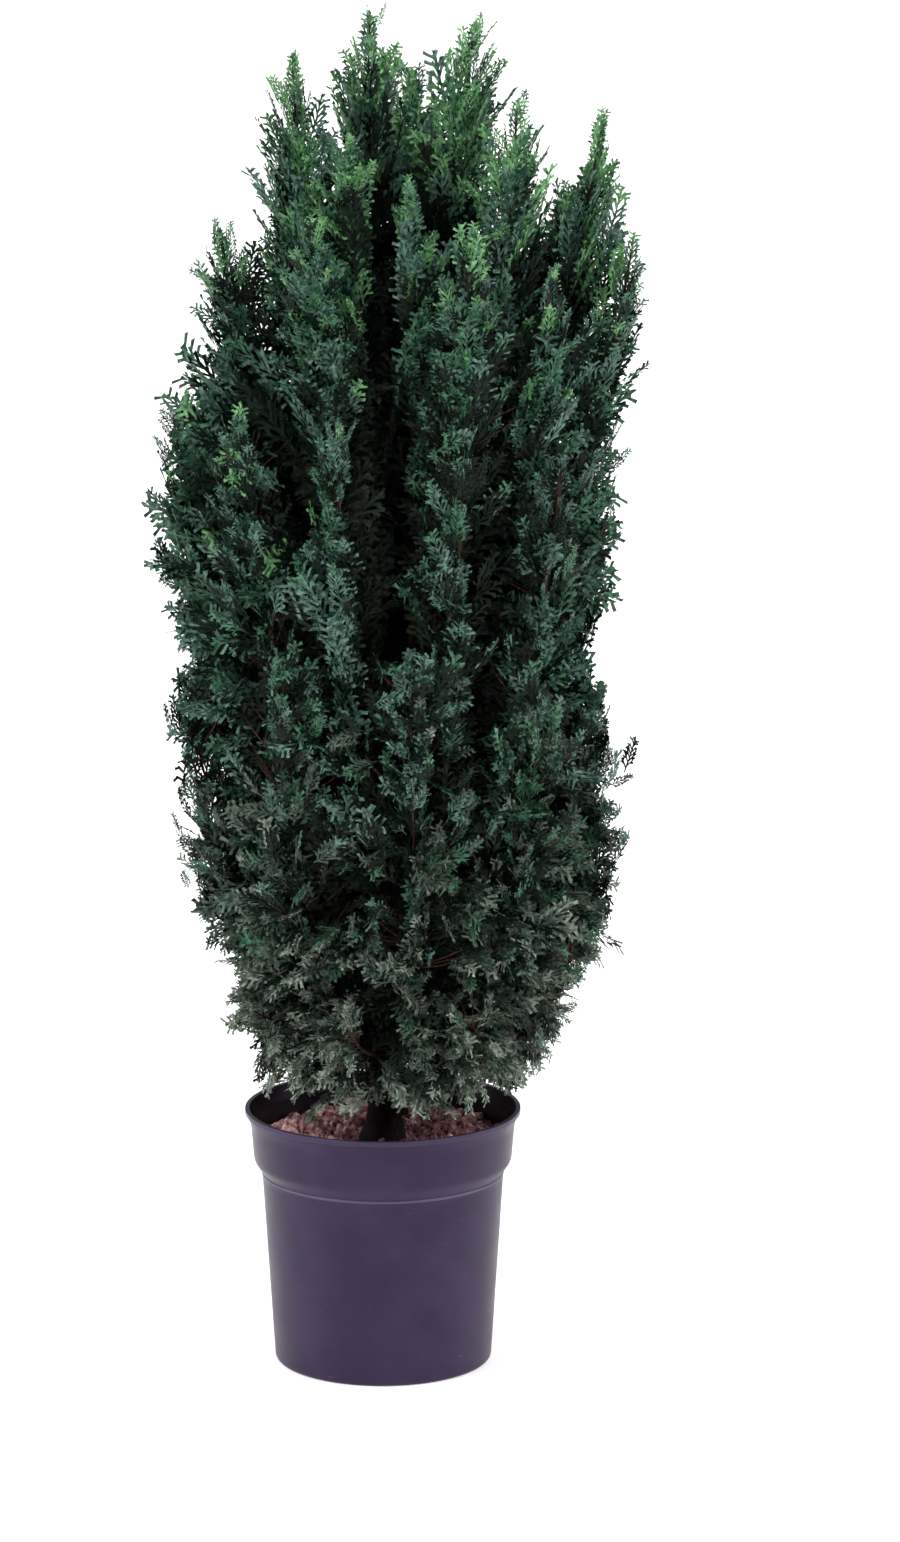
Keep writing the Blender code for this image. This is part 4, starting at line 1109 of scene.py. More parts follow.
PLANS = (
    Plan("top_center", TOP, (0.086, 0.000, 1.266), 0.310, 0.060, 0.000),
    Plan("top_left", TOP, (-0.010, 0.030, 1.272), 0.330, 0.058, 0.064, True),
    Plan("top_back", TOP, (0.030, 0.092, 1.215), 0.290, 0.056, 0.068, True),
    Plan("top_shoulder", TOP, (-0.080, -0.022, 1.238), 0.310, 0.054, 0.104, True),
    Plan("top_front_left", TOP, (-0.030, -0.082, 1.164), 0.270, 0.052, 0.076, True),
    Plan("top_front", TOP, (0.026, -0.106, 1.126), 0.240, 0.048, 0.090, True),
    Plan("top_front_right", TOP, (0.124, -0.052, 1.200), 0.290, 0.054, 0.070, True),
    Plan("top_right", TOP, (0.204, 0.034, 1.176), 0.300, 0.050, 0.096, True),
    Plan("top_far_right", TOP, (0.232, -0.024, 1.075), 0.280, 0.044, 0.126, True),
    Plan("upper_left", UPPER, (-0.146, -0.034, 1.080), 0.280, 0.058, 0.128, True),
    Plan("upper_front_left", UPPER, (-0.062, -0.136, 1.090), 0.270, 0.054, 0.128, True),
    Plan("upper_front_right", UPPER, (0.078, -0.146, 1.080), 0.270, 0.054, 0.126, True),
    Plan("upper_right_front", UPPER, (0.152, -0.108, 1.040), 0.262, 0.052, 0.118, True),
    Plan("upper_right_back", UPPER, (0.166, 0.110, 1.090), 0.290, 0.064, 0.122, True),
    Plan("upper_back", UPPER, (0.050, 0.166, 1.090), 0.280, 0.062, 0.126, True),
    Plan("upper_left_back", UPPER, (-0.078, 0.116, 1.130), 0.300, 0.064, 0.120, True),
    Plan("middle_left", MIDDLE, (-0.190, -0.010, 0.915), 0.330, 0.070, 0.124, True),
    Plan("middle_left_front", MIDDLE, (-0.130, -0.124, 0.920), 0.310, 0.060, 0.130),
    Plan("middle_front_left", MIDDLE, (-0.040, -0.176, 0.908), 0.300, 0.056, 0.132, True),
    Plan("middle_front_right", MIDDLE, (0.074, -0.176, 0.916), 0.300, 0.056, 0.132, True),
    Plan("middle_right_front", MIDDLE, (0.164, -0.128, 0.886), 0.300, 0.060, 0.132),
    Plan("middle_right", MIDDLE, (0.206, 0.004, 0.920), 0.330, 0.068, 0.126, True),
    Plan("middle_right_back", MIDDLE, (0.144, 0.126, 0.920), 0.310, 0.066, 0.130),
    Plan("middle_back", MIDDLE, (0.014, 0.180, 0.930), 0.310, 0.066, 0.130),
    Plan("middle_left_back", MIDDLE, (-0.118, 0.126, 0.930), 0.310, 0.066, 0.130),
    Plan("lower_left", LOWER, (-0.184, -0.006, 0.650), 0.310, 0.084, 0.094),
    Plan("lower_front_left", LOWER, (-0.096, -0.152, 0.690), 0.330, 0.078, 0.096),
    Plan("lower_front", LOWER, (0.034, -0.172, 0.690), 0.330, 0.076, 0.098),
    Plan("lower_front_right", LOWER, (0.142, -0.120, 0.670), 0.320, 0.078, 0.096),
    Plan("lower_right", LOWER, (0.206, 0.020, 0.650), 0.310, 0.084, 0.104),
    Plan("lower_back_right", LOWER, (0.112, 0.150, 0.680), 0.320, 0.084, 0.100),
    Plan("lower_back_left", LOWER, (-0.084, 0.150, 0.680), 0.320, 0.086, 0.100),
    Plan("skirt_left", SKIRT, (-0.132, -0.068, 0.362), 0.052, 0.064, 0.040),
    Plan("skirt_front_left", SKIRT, (-0.030, -0.148, 0.352), 0.048, 0.060, 0.040),
    Plan("skirt_front_right", SKIRT, (0.088, -0.134, 0.352), 0.048, 0.060, 0.040),
    Plan("skirt_right", SKIRT, (0.172, -0.050, 0.368), 0.056, 0.066, 0.040),
    Plan("skirt_back", SKIRT, (0.010, 0.150, 0.362), 0.052, 0.068, 0.040),
)


@dataclass
class Plume:
    """One plume's axis and limb, by the source's rule."""

    index: int
    plan: Plan
    trunk: Trunk
    lowest_limb_z: float = 0.270
    highest_limb_z: float = 0.650
    limb_crowding: float = 1.25
    level_height: float = 0.06
    limb_out_share: float = 0.16
    limb_out_least: float = 0.004
    limb_rise_share: float = 0.45
    limb_sunk: float = 0.002
    limb_points: int = 14
    knee_share: float = 0.62
    knee_rise: float = 0.42
    knee_droop: float = 0.30
    butt_radius: float = 0.0048
    collar: float = 0.45
    collar_fall: float = 14.0
    stem_radius: float = 0.0025
    stem_tip_radius: float = 0.0009
    stem_share: float = 0.96
    stem_points: int = 12
    foot_width: float = 0.6
    outward: Vector = field(init=False)
    foot: Vector = field(init=False)
    corners: tuple[Vector, ...] = field(init=False)

    def __post_init__(self) -> None:
        """Work out which way the plume leans out, where it starts and the corners of its axis."""
        tip = Vector(self.plan.tip)
        start = self.trunk.point(tip.z - self.plan.height)
        away = tip - start
        away.z = 0.0
        self.outward = away.normalized()
        self.foot = self.trunk.tip.copy()
        if self.plan.foot_reach > 0.0:
            self.foot = start + self.outward * self.plan.foot_reach
        knee = self.foot.lerp(tip, self.knee_share)
        rise = self.knee_rise - self.knee_droop * self.plan.tier.droop
        knee.z = self.foot.z + (tip.z - self.foot.z) * rise
        self.corners = (self.foot, knee, tip)

    def axis_at(self, share: float) -> tuple[Vector, Vector]:
        """Return the axis's place and direction at a share of its length.

        Args:
            share: how far up the axis, from 0 to 1.

        Returns:
            The place and the direction.
        """
        ahead = bezier(self.corners, min(1.0, share + 0.02))
        behind = bezier(self.corners, max(0.0, share - 0.02))
        return bezier(self.corners, share), (ahead - behind).normalized()

    def stem_at(self, share: float) -> tuple[Vector, Vector]:
        """Return the place and direction at a share of the axis, or of the limb below it when negative.

        Args:
            share: how far up, from -1 at the trunk over 0 at the foot to 1 at the tip.

        Returns:
            The place and the direction.
        """
        if share >= 0.0 or self.plan.foot_reach == 0.0:
            return self.axis_at(max(0.0, share))
        points = self.limb()[0]
        spot = (1.0 + share) * (len(points) - 1)
        low = min(len(points) - 2, int(spot))
        place = points[low].lerp(points[low + 1], spot - low)
        return place, (points[low + 1] - points[low]).normalized()

    def limb_start_z(self) -> float:
        """Return the height where the limb leaves the trunk: limbs follow the order of their feet.

        Returns:
            The height.
        """
        rooted = [plan for plan in PLANS if plan.foot_reach > 0.0]

        def order(plan: Plan) -> tuple[int, float]:
            """Return the level of a plume's foot and its place on that level."""
            level = round((plan.tip[2] - plan.height) / self.level_height)
            return level, (PLANS.index(plan) * GOLDEN_SHARE) % 1.0

        rank = sorted(rooted, key=order).index(self.plan)
        share = (rank / (len(rooted) - 1)) ** self.limb_crowding
        return self.lowest_limb_z + (self.highest_limb_z - self.lowest_limb_z) * share

    def limb(self) -> Route:
        """Return the limb's route, from inside the trunk's bark to the plume's foot.

        Returns:
            Its points and its radius at each.
        """
        start_z = self.limb_start_z()
        middle = self.trunk.point(start_z)
        away = self.foot - middle
        away.z = 0.0
        away.normalize()
        start = middle + away * (self.trunk.radius(start_z) - self.limb_sunk)
        entry = (self.corners[1] - self.foot).normalized()
        reach = (self.foot - start).length * self.limb_out_share + self.limb_out_least
        rise = self.foot.z - start.z
        bend = (start, start + away * reach, self.foot - entry * rise * self.limb_rise_share, self.foot)
        shares = [i / (self.limb_points - 1) for i in range(self.limb_points)]
        radii = []
        for share in shares:
            collar = 1.0 + self.collar * math.exp(-share * self.collar_fall)
            radii.append((self.butt_radius + share * (self.stem_radius - self.butt_radius)) * collar)
        return [bezier(bend, share) for share in shares], radii

    def stem(self) -> Route:
        """Return the stem's route, from the plume's foot nearly to its tip.

        Returns:
            Its points and its radius at each.
        """
        first = self.stem_radius if self.plan.foot_reach > 0.0 else self.trunk.tip_radius
        shares = [self.stem_share * i / (self.stem_points - 1) for i in range(self.stem_points)]
        points = [bezier(self.corners, share) for share in shares]
        return points, [first + share * (self.stem_tip_radius - first) for share in shares]

    def width_at(self, share: float) -> float:
        """Return the plume's half width at a share of its height.

        Args:
            share: how far up the plume, from 0 to 1.

        Returns:
            The half width.
        """
        tier = self.plan.tier
        share = max(0.0, share)
        if share < tier.widest:
            swell = math.sin(share / tier.widest * math.pi / 2.0)
            return self.plan.half_width * (self.foot_width + (1.0 - self.foot_width) * swell)
        fall = (share - tier.widest) / (1.0 - tier.widest)
        narrowing = (1.0 - tier.tip_width) * math.cos(fall * math.pi / 2.0)
        return self.plan.half_width * (tier.tip_width + narrowing)


@dataclass
class Limbs:
    """The boughs and the stems inside the plumes, with bark in relief."""

    plumes: list[Plume]

    def dress(self, tree: bpy.types.NodeTree) -> None:
        """Build the boughs' and stems' bark and hand it over.

        Args:
            tree: the bark tube tree.
        """
        routes = [plume.limb() for plume in self.plumes if plume.plan.foot_reach > 0.0]
        boughs = run_tree("bough_bark", route_mesh("bough_routes", routes), tree, {
            "Sides": 9, "Step": 0.006, "Relief": 0.0014, "Strips round": 420.0, "Strips along": 60.0,
            "Bark": RED_BARK.material(),
        })
        nodes = tuple("bough_" + plume.plan.name for plume in self.plumes if plume.plan.has_bough)
        hand_over(boughs, nodes)
        routes = [plume.stem() for plume in self.plumes]
        stems = run_tree("stem_bark", route_mesh("stem_routes", routes), tree, {
            "Sides": 6, "Step": 0.008, "Relief": 0.0005, "Strips round": 600.0, "Strips along": 90.0,
            "Bark": TWIG_BARK.material(),
        })
        hand_over(stems)


# Sprays of foliage


@dataclass
class Spray:
    """One spray: where its stalk starts, where it points and faces, its length and how far its end curls."""

    root: Vector
    way: Vector
    normal: Vector
    length: float
    bend: float


@dataclass
class Sprays:
    """The sprays of one kind and tone while the crown grows, as lists to be made into arrays."""

    roots: list = field(default_factory=list)
    ways: list = field(default_factory=list)
    normals: list = field(default_factory=list)
    lengths: list = field(default_factory=list)
    bends: list = field(default_factory=list)
    cups: list = field(default_factory=list)
    least_bend: float = 0.01

    def add(self, spray: Spray, cup: float) -> None:
        """Note one spray.

        Args:
            spray: the spray.
            cup: how far its sides fall away from its face.
        """
        self.roots.append(spray.root[:])
        self.ways.append(spray.way[:])
        self.normals.append(spray.normal[:])
        self.lengths.append(spray.length)
        self.bends.append(spray.bend)
        self.cups.append(cup)

    def points(self, faces: np.ndarray, chosen: np.ndarray) -> np.ndarray:
        """Return the corners of the chosen sprays, bent and laid in place.

        Args:
            faces: the flat faces of one variant.
            chosen: the numbers of the sprays that use it.

        Returns:
            An array of corners by x, y and z, four to a face.
        """
        root = np.array(self.roots)[chosen][:, None, :]
        way = np.array(self.ways)[chosen]
        normal = np.array(self.normals)[chosen]
        normal = normal - way * (normal * way).sum(axis=1, keepdims=True)
        normal /= np.linalg.norm(normal, axis=1, keepdims=True)
        across = np.cross(normal, way)
        length = np.array(self.lengths)[chosen][:, None]
        bend = np.array(self.bends)[chosen][:, None]
        bend = np.where(np.abs(bend) < self.least_bend, self.least_bend, bend)
        cup = np.array(self.cups)[chosen][:, None]
        flat = faces.reshape(-1, 3)[None, :, :]
        angle = bend * flat[:, :, 0]
        along = np.sin(angle) / bend
        rise = (1.0 - np.cos(angle)) / bend - cup * flat[:, :, 1] ** 2 + flat[:, :, 2]
        shape = along[:, :, None] * way[:, None, :] + rise[:, :, None] * normal[:, None, :]
        shape += flat[:, :, 1][:, :, None] * across[:, None, :]
        return (root + shape * length[:, :, None]).reshape(-1, 3)


@dataclass(frozen=True)
class TwigRule:
    """How twigs leave a plume's stem and sprays stand on a twig. Shares run up the stem or twig."""

    first: float = -0.22
    last: float = 0.94
    share_stray: float = 0.015
    plume_turn: float = 0.37
    turn_stray: float = 0.2
    lean: Range = (0.75, 1.25)
    steeper_above: float = 0.55
    steeper: float = 0.5
    flatter_below: float = 0.25
    flatter: float = 1.3
    reach: Range = (0.9, 1.1)
    headroom: Range = (0.85, 1.0)
    past_twig: float = 0.55
    least_length: float = 0.022
    curl: Range = (0.5, 1.3)
    face_out: float = 0.8
    face_away: float = 0.5
    face_stray: float = 0.45
    spray_gap: float = 0.016
    first_spray: float = 0.12
    spray_span: float = 0.74
    step: Range = (0.2, 0.8)
    look_ahead: float = 0.05
    angle: Range = (16.0, 36.0)
    size: Range = (0.75, 1.15)
    root_size: float = 1.05
    size_fall: float = 0.35
    smaller_above: float = 0.6
    smaller: float = 0.3
    bend_stray: float = 0.3
    end_share: float = 0.72
    end_size: Range = (1.0, 1.3)
    end_bend: Range = (-0.2, 0.3)
    high_kind_from: float = 0.45
    radii: tuple[float, ...] = (0.0012, 0.0009, 0.0007, 0.0004)


@dataclass(frozen=True)
class FaceRule:
    """How the short sprays lie against a stem and hide it from outside."""

    count: int = 26
    first: float = -0.15
    span: float = 0.85
    turn: float = 1.1
    lift: float = 0.002
    lean: Range = (0.25, 0.7)
    stray: float = 0.3
    facing: float = 0.8
    size: Range = (0.85, 1.25)
    bend: Range = (-0.6, 0.1)
    tip_from: float = 0.86
    tip_turns: tuple[float, ...] = (0.3, 1.9)
    tip_share: float = 0.9
    tip_bend: float = 0.1


@dataclass(frozen=True)
class InnerRule:
    """How the sprays in near-black painted shade stand low on the stems and limbs and round the trunk, and
    close the inside.
    """

    count: int = 90
    share: Range = (-0.8, 0.5)
    rise: Range = (0.1, 1.6)
    length: Range = (0.050, 0.085)
    most_out: float = 0.02
    bend: float = 0.5
    core_seed: int = 77
    core_count: int = 800
    core_height: Range = (0.33, 0.98)
    core_reach: Range = (0.01, 0.10)
    core_rise: Range = (-0.3, 1.3)
    core_length: Range = (0.05, 0.08)
    core_cup: float = 0.2


@dataclass(frozen=True)
class OuterRule:
    """How sprays fill the crown's outline between the plumes, and the twigs that carry them."""

    seed: int = 91
    count: int = 1500
    # Bands of height, each as likely as the next, so that those that overlap get more sprays.
    bands: tuple[Range, ...] = (
        (0.27, 0.45), (0.34, 0.50), (0.40, 0.62), (0.56, 0.80), (0.60, 0.76), (0.75, 1.13), (0.78, 0.98),
    )
    # Height and the angle above level that the sprays have there, in degrees.
    rise: tuple[tuple[float, float], ...] = (
        (0.25, -14.0), (0.38, -6.0), (0.56, 4.0), (0.75, 14.0), (0.88, 30.0), (1.00, 52.0), (1.20, 70.0),
    )
    rise_stray: float = 16.0
    out: Range = (0.78, 1.0)
    turn: float = 0.5
    aside: tuple[float, ...] = (-1.2, 0.0, 1.2)
    face_away: float = 0.5
    face_up: float = 0.3
    tier_face_up: float = 0.6
    face_stray: float = 0.5
    size: Range = (0.85, 1.2)
    share: float = 0.7
    facing: float = 0.9
    back: float = 0.8
    longer: float = 1.1
    bend: Range = (-0.3, 0.2)
    tier_bend: float = 0.6
    free_below: float = 0.60
    beside_free_below: float = 0.95
    beside: float = 0.70
    carrier_past: float = 0.012
    carrier_sag: float = 0.10
    carrier_radii: tuple[float, ...] = (0.0013, 0.0010, 0.0008, 0.0005)


@dataclass(frozen=True)
class ToneRule:
    """How the tones are dealt: painted light and shade, by how far a spray stands out to the light, in
    clumps, and in wider patches.
    """

    share_weight: float = 1.4
    stray: float = 0.27
    clumping: float = 0.45
    clump_size: float = 0.028
    height_stray: float = 0.07
    painted_shade_below: float = 0.40
    shade_with_deep_tip: float = 0.4
    half_shade_below: float = 0.62
    fresh_at_foot: float = 0.25
    patch_size: float = 0.09
    bloom_above: float = 0.18
    green_below: float = -0.2


@dataclass
class Foliage:
    """All the foliage: twigs and sprays that grow on each plume's stem and keep to its space."""

    plumes: list[Plume]
    twig: TwigRule = TwigRule()
    face: FaceRule = FaceRule()
    inner_shade: InnerRule = InnerRule()
    outer: OuterRule = OuterRule()
    tone: ToneRule = ToneRule()
    variants: int = 9
    variant_seed: int = 31
    pick_seed: int = 70
    plume_seed: int = 500
    axis_points: int = 13
    cup: Range = (0.15, 0.85)
    shorter: tuple[float, ...] = (1.0, 0.8, 0.62)
    own_margin: float = 0.16
    bushy_below: float = 0.3
    loose: float = 1.9
    spare: float = 0.006
    lip_reach: float = 0.135
    rim_z: float = 0.270
    skirt_fall: float = 0.45
    plume_raggedness: float = 0.45
    ragged_size: float = 0.022
    outline_share: float = 0.985
    raggedness: float = 0.22
    notch_size: float = 0.013
    # Height, left edge and right edge of the whole crown.
    outline: tuple[tuple[float, float, float], ...] = (
        (0.24, -0.118, 0.130), (0.29, -0.134, 0.150), (0.32, -0.134, 0.182), (0.375, -0.146, 0.176),
        (0.40, -0.152, 0.220), (0.46, -0.180, 0.226), (0.60, -0.184, 0.224), (0.63, -0.198, 0.212),
        (0.665, -0.194, 0.196), (0.71, -0.204, 0.206), (0.75, -0.214, 0.208), (0.82, -0.208, 0.212),
        (0.877, -0.208, 0.214), (0.91, -0.192, 0.224), (0.94, -0.188, 0.230), (1.00, -0.184, 0.242),
        (1.045, -0.174, 0.252), (1.075, -0.168, 0.238), (1.105, -0.132, 0.232), (1.16, -0.122, 0.228),
        (1.28, -0.105, 0.220),
    )
    # Place to the right, height, half width and half height of each dark hollow between the front plumes.
    hollows: tuple[tuple[float, float, float, float], ...] = (
        (-0.002, 1.030, 0.028, 0.085), (0.008, 0.925, 0.026, 0.075), (-0.010, 0.800, 0.025, 0.130),
        (0.098, 0.810, 0.025, 0.120), (-0.124, 0.690, 0.020, 0.140), (-0.086, 0.860, 0.021, 0.065),
        (0.044, 1.125, 0.015, 0.040), (0.134, 1.045, 0.019, 0.055), (0.014, 0.510, 0.021, 0.085),
        (0.048, 0.430, 0.017, 0.055), (-0.006, 0.330, 0.026, 0.095), (-0.012, 0.640, 0.019, 0.095),
        (0.190, 0.950, 0.012, 0.055), (-0.062, 0.490, 0.017, 0.065), (0.060, 0.600, 0.015, 0.065),
        (0.096, 0.660, 0.016, 0.065),
    )
    hollow_from: float = -0.05
    hollow_raggedness: float = 1.1

    def __post_init__(self) -> None:
        """Lay out the plumes' spaces and the empty bins."""
        self.sprays: dict[tuple, Sprays] = {}
        self.twigs: list[Route] = []
        self.nodes: dict[Tone, set[str]] = {tone: set() for tone in Tone}
        shares = [i / (self.axis_points - 1) for i in range(self.axis_points)]
        self.axes = np.array([[bezier(plume.corners, share)[:] for share in shares] for plume in self.plumes])
        self.widths = np.array([plume.plan.half_width for plume in self.plumes])
        self.heights, self.lefts, self.rights = zip(*self.outline)

    def reaches(self, place: Vector) -> np.ndarray:
        """Return how far a place is from each point of each plume's axis."""
        return np.sqrt(((self.axes - np.array(place[:])) ** 2).sum(axis=2))

    def middle_at(self, z: float) -> tuple[float, float]:
        """Return the middle of the crown's outline from left to right, and its half width, at a height."""
        left, right = np.interp(z, self.heights, self.lefts), np.interp(z, self.heights, self.rights)
        return (left + right) / 2.0, (right - left) / 2.0

    def has_room(self, plume: Plume, place: Vector) -> bool:
        """Return whether a place lies in the plume's own space.

        Args:
            plume: the plume that grows there.
            place: the place.

        Returns:
            True where it is within the plume's outline, no nearer another plume's axis for its
            width, clear of the pot and inside the whole crown's outline.
        """
        reaches = self.reaches(place)
        nearest = reaches.min(axis=1)
        shares = nearest / self.widths
        along = reaches[plume.index].argmin() / (self.axis_points - 1)
        margin = plume.plan.tier.margin if along > self.bushy_below else self.own_margin
        if shares[plume.index] > np.delete(shares, plume.index).min() + margin:
            return False
        slack = self.loose - (self.loose - 1.0) * along
        ragged = 1.0 + self.plume_raggedness * noise.noise(place / self.ragged_size)
        if nearest[plume.index] > plume.width_at(along) * slack * ragged + self.spare:
            return False
        outside = max(0.0, math.hypot(place.x, place.y) - self.lip_reach)
        lowest = self.rim_z - self.skirt_fall * outside
        if place.z < lowest or place.z > plume.plan.tip[2] + plume.plan.tier.past_tip:
            return False
        return self.in_outline(place)

    def in_outline(self, place: Vector) -> bool:
        """Return whether a place lies within the whole crown's ragged outline.

        Args:
            place: the place.

        Returns:
            True inside.
        """
        middle, half = self.middle_at(place.z)
        share = math.hypot(place.x - middle, place.y) / half
        return share < self.outline_share + self.raggedness * noise.noise(place / self.notch_size)

    def in_hollow(self, place: Vector) -> bool:
        """Return whether a place lies in one of the dark hollows between the front plumes.

        Args:
            place: the place.

        Returns:
            True in a hollow.
        """
        edge = 1.0 + self.hollow_raggedness * noise.noise(place / self.ragged_size)
        return place.y < self.hollow_from and any(
            ((place.x - x) / width) ** 2 + ((place.z - z) / height) ** 2 < edge
            for x, z, width, height in self.hollows
        )

    def add_spray(self, plume: Plume, kind: SprayKind, tones: tuple[Tone, Tone], spray: Spray,
                  draw: random.Random, free: bool = False) -> bool:
        """Add a spray where its tip has room, shortened where it must be.

        Args:
            plume: the plume that it grows on.
            kind: which shape of spray.
            tones: the tones of its body and of its tips.
            spray: the spray.
            draw: the seeded source of chance.
            free: whether only the whole crown's outline bounds it.

        Returns:
            Whether it was added.
        """
        full = spray.length
        for shorter in self.shorter:
            tip = spray.root + spray.way * full * shorter
            room = self.in_outline(tip) if free else self.has_room(plume, tip)
            # Only sprays in painted shade may stand in a hollow, so that it shows near black.
            if room and (tones[0] is Tone.SHADE or not self.in_hollow(tip)):
                break
        else:
            return False
        spray.length = full * shorter
        self.sprays.setdefault((kind, *tones), Sprays()).add(spray, draw.uniform(*self.cup))
        for tone in tones:
            self.nodes[tone].add("foliage_" + plume.plan.name)
        return True

    def add_twig(self, bend: tuple[Vector, ...], radii: tuple[float, ...]) -> None:
        """Add a fine twig along a curve.

        Args:
            bend: the curve's corners.
            radii: the twig's radius at even steps along it.
        """
        last = len(radii) - 1
        self.twigs.append(([bezier(bend, k / last) for k in range(len(radii))], list(radii)))

    @staticmethod
    def deal(draw: random.Random, weights: tuple[tuple[Tone, int], ...]) -> Tone:
        """Return one tone by its weight."""
        return draw.choices([tone for tone, _ in weights], [weight for _, weight in weights])[0]

    def tones_at(self, plume: Plume, share: float, facing: float, place: Vector,
                 draw: random.Random) -> tuple[Tone, Tone]:
        """Return the tones of a spray's body and tips at a place.

        Args:
            plume: the plume.
            share: how far up the plume's stem the spray's twig starts.
            facing: 1 where the twig grows out of the crown, down to -1 where it grows inwards.
            place: where the spray stands.
            draw: the seeded source of chance.

        Returns:
            The two tones: dark as painted shade inside and between the plumes, lighter as painted light on
                their outside.
        """
        rule = self.tone
        # Exposure stands for the light that a spray gets: facing out or high on the plume it takes lit tones,
        # facing in or in a darker clump it takes painted shade.
        exposure = max(0.5 + 0.5 * facing, (share - plume.plan.tier.open_from) * rule.share_weight)
        exposure += draw.uniform(-rule.stray, rule.stray)
        exposure += rule.clumping * noise.noise(place / rule.clump_size)
        height = place.z + draw.uniform(-rule.height_stray, rule.height_stray)
        palette = next(entry for entry in PALETTES if height < entry.up_to)
        # Least exposed: near-black painted shade; then dark painted half shade.
        if exposure < rule.painted_shade_below:
            return Tone.SHADE, Tone.DEEP if draw.random() < rule.shade_with_deep_tip else Tone.SHADE
        if exposure < rule.half_shade_below:
            return Tone.DEEP, draw.choice((Tone.DEEP, Tone.DEEP, palette.half_shade_tip))
        body = self.deal(draw, palette.body)
        tip = self.deal(draw, palette.tips)
        if tip is Tone.FRESH and draw.random() > rule.fresh_at_foot + share:
            tip = Tone.LEAF
        patch = noise.noise(place / rule.patch_size)
        if patch > rule.bloom_above and body is Tone.LEAF:
            body = Tone.SEA
        if patch < rule.green_below and tip is Tone.SEA:
            tip = Tone.LEAF
        return body, tip

    def kind_at(self, tier: Tier, share: float) -> SprayKind:
        """Return the shape that a tier's sprays have at a share of the stem."""
        return tier.high_kind if share > self.twig.high_kind_from else tier.low_kind

    def grow_twig(self, plume: Plume, step: int, draw: random.Random) -> None:
        """Grow one twig with the sprays on it.

        Args:
            plume: the plume.
            step: the twig's number up the stem.
            draw: the plume's seeded source of chance.
        """
        rule, tier = self.twig, plume.plan.tier
        share = rule.first + (rule.last - rule.first) * step / (tier.twigs - 1)
        share += draw.uniform(-rule.share_stray, rule.share_stray)
        place, stem_way = plume.stem_at(share)
        spread = (step * GOLDEN_SHARE + plume.index * rule.plume_turn) % 1.0
        turn = (spread - 0.5) * math.tau + draw.uniform(-rule.turn_stray, rule.turn_stray)
        level = plume.outward - stem_way * plume.outward.dot(stem_way)
        away = Matrix.Rotation(turn, 3, stem_way) @ level.normalized()
        facing = away.dot(plume.outward)
        lean = tier.rise_angle * draw.uniform(*rule.lean)
        lean *= 1.0 - rule.steeper * max(0.0, share - rule.steeper_above)
        lean *= 1.0 + rule.flatter * max(0.0, rule.flatter_below - share)
        way = stem_way * math.cos(lean) + away * math.sin(lean)
        way.z -= tier.droop
        way.normalize()
        reach = plume.width_at(share) * draw.uniform(*rule.reach) - tier.spray * rule.past_twig
        headroom = (Vector(plume.plan.tip) - place).length - tier.spray * rule.past_twig
        length = min(reach / math.sin(lean), headroom * draw.uniform(*rule.headroom))
        length = max(length, rule.least_length)
        up = Vector((0.0, 0.0, 1.0))
        curl = tier.curl * draw.uniform(*rule.curl) * length * 0.5
        bend = (place, place + way * length * 0.5, place + way * length + up * curl)
        flat = plume.outward * rule.face_out + away * rule.face_away + up * tier.face_up
        flat += stray(draw, rule.face_stray)
        flat = flat - way * flat.dot(way)
        flat.normalize()
        count = max(2, int(round(length / rule.spray_gap)))
        for k in range(count):
            along = rule.first_spray + rule.spray_span * (k + draw.uniform(*rule.step)) / count
            root = bezier(bend, along)
            ahead = bezier(bend, min(1.0, along + rule.look_ahead)) - bezier(bend, along - rule.look_ahead)
            ahead = ahead.normalized()
            side = 1.0 if (k + step) % 2 else -1.0
            normal = Matrix.Rotation(draw.uniform(-tier.roll, tier.roll), 3, ahead) @ flat
            spray_way = Matrix.Rotation(side * math.radians(draw.uniform(*rule.angle)), 3, normal) @ ahead
            size = tier.spray * draw.uniform(*rule.size) * (rule.root_size - rule.size_fall * along)
            size *= 1.0 - rule.smaller * max(0.0, share - rule.smaller_above)
            tones = self.tones_at(plume, share, facing, root, draw)
            kind = SprayKind.COARSE if tones[0] is Tone.SHADE else self.kind_at(tier, share)
            curl = draw.uniform(-rule.bend_stray, rule.bend_stray) + tier.bend
            self.add_spray(plume, kind, tones, Spray(root, spray_way, normal, size, curl), draw)
        root = bezier(bend, rule.end_share)
        tones = self.tones_at(plume, share, facing, root, draw)
        end = Spray(root, (bend[2] - root).normalized(), flat, tier.spray * draw.uniform(*rule.end_size),
                    draw.uniform(*rule.end_bend) + tier.bend)
        ended = self.add_spray(plume, self.kind_at(tier, share), tones, end, draw)
        if ended and self.has_room(plume, bend[2]) and not self.in_hollow(bend[2]):
            self.add_twig(bend, rule.radii)

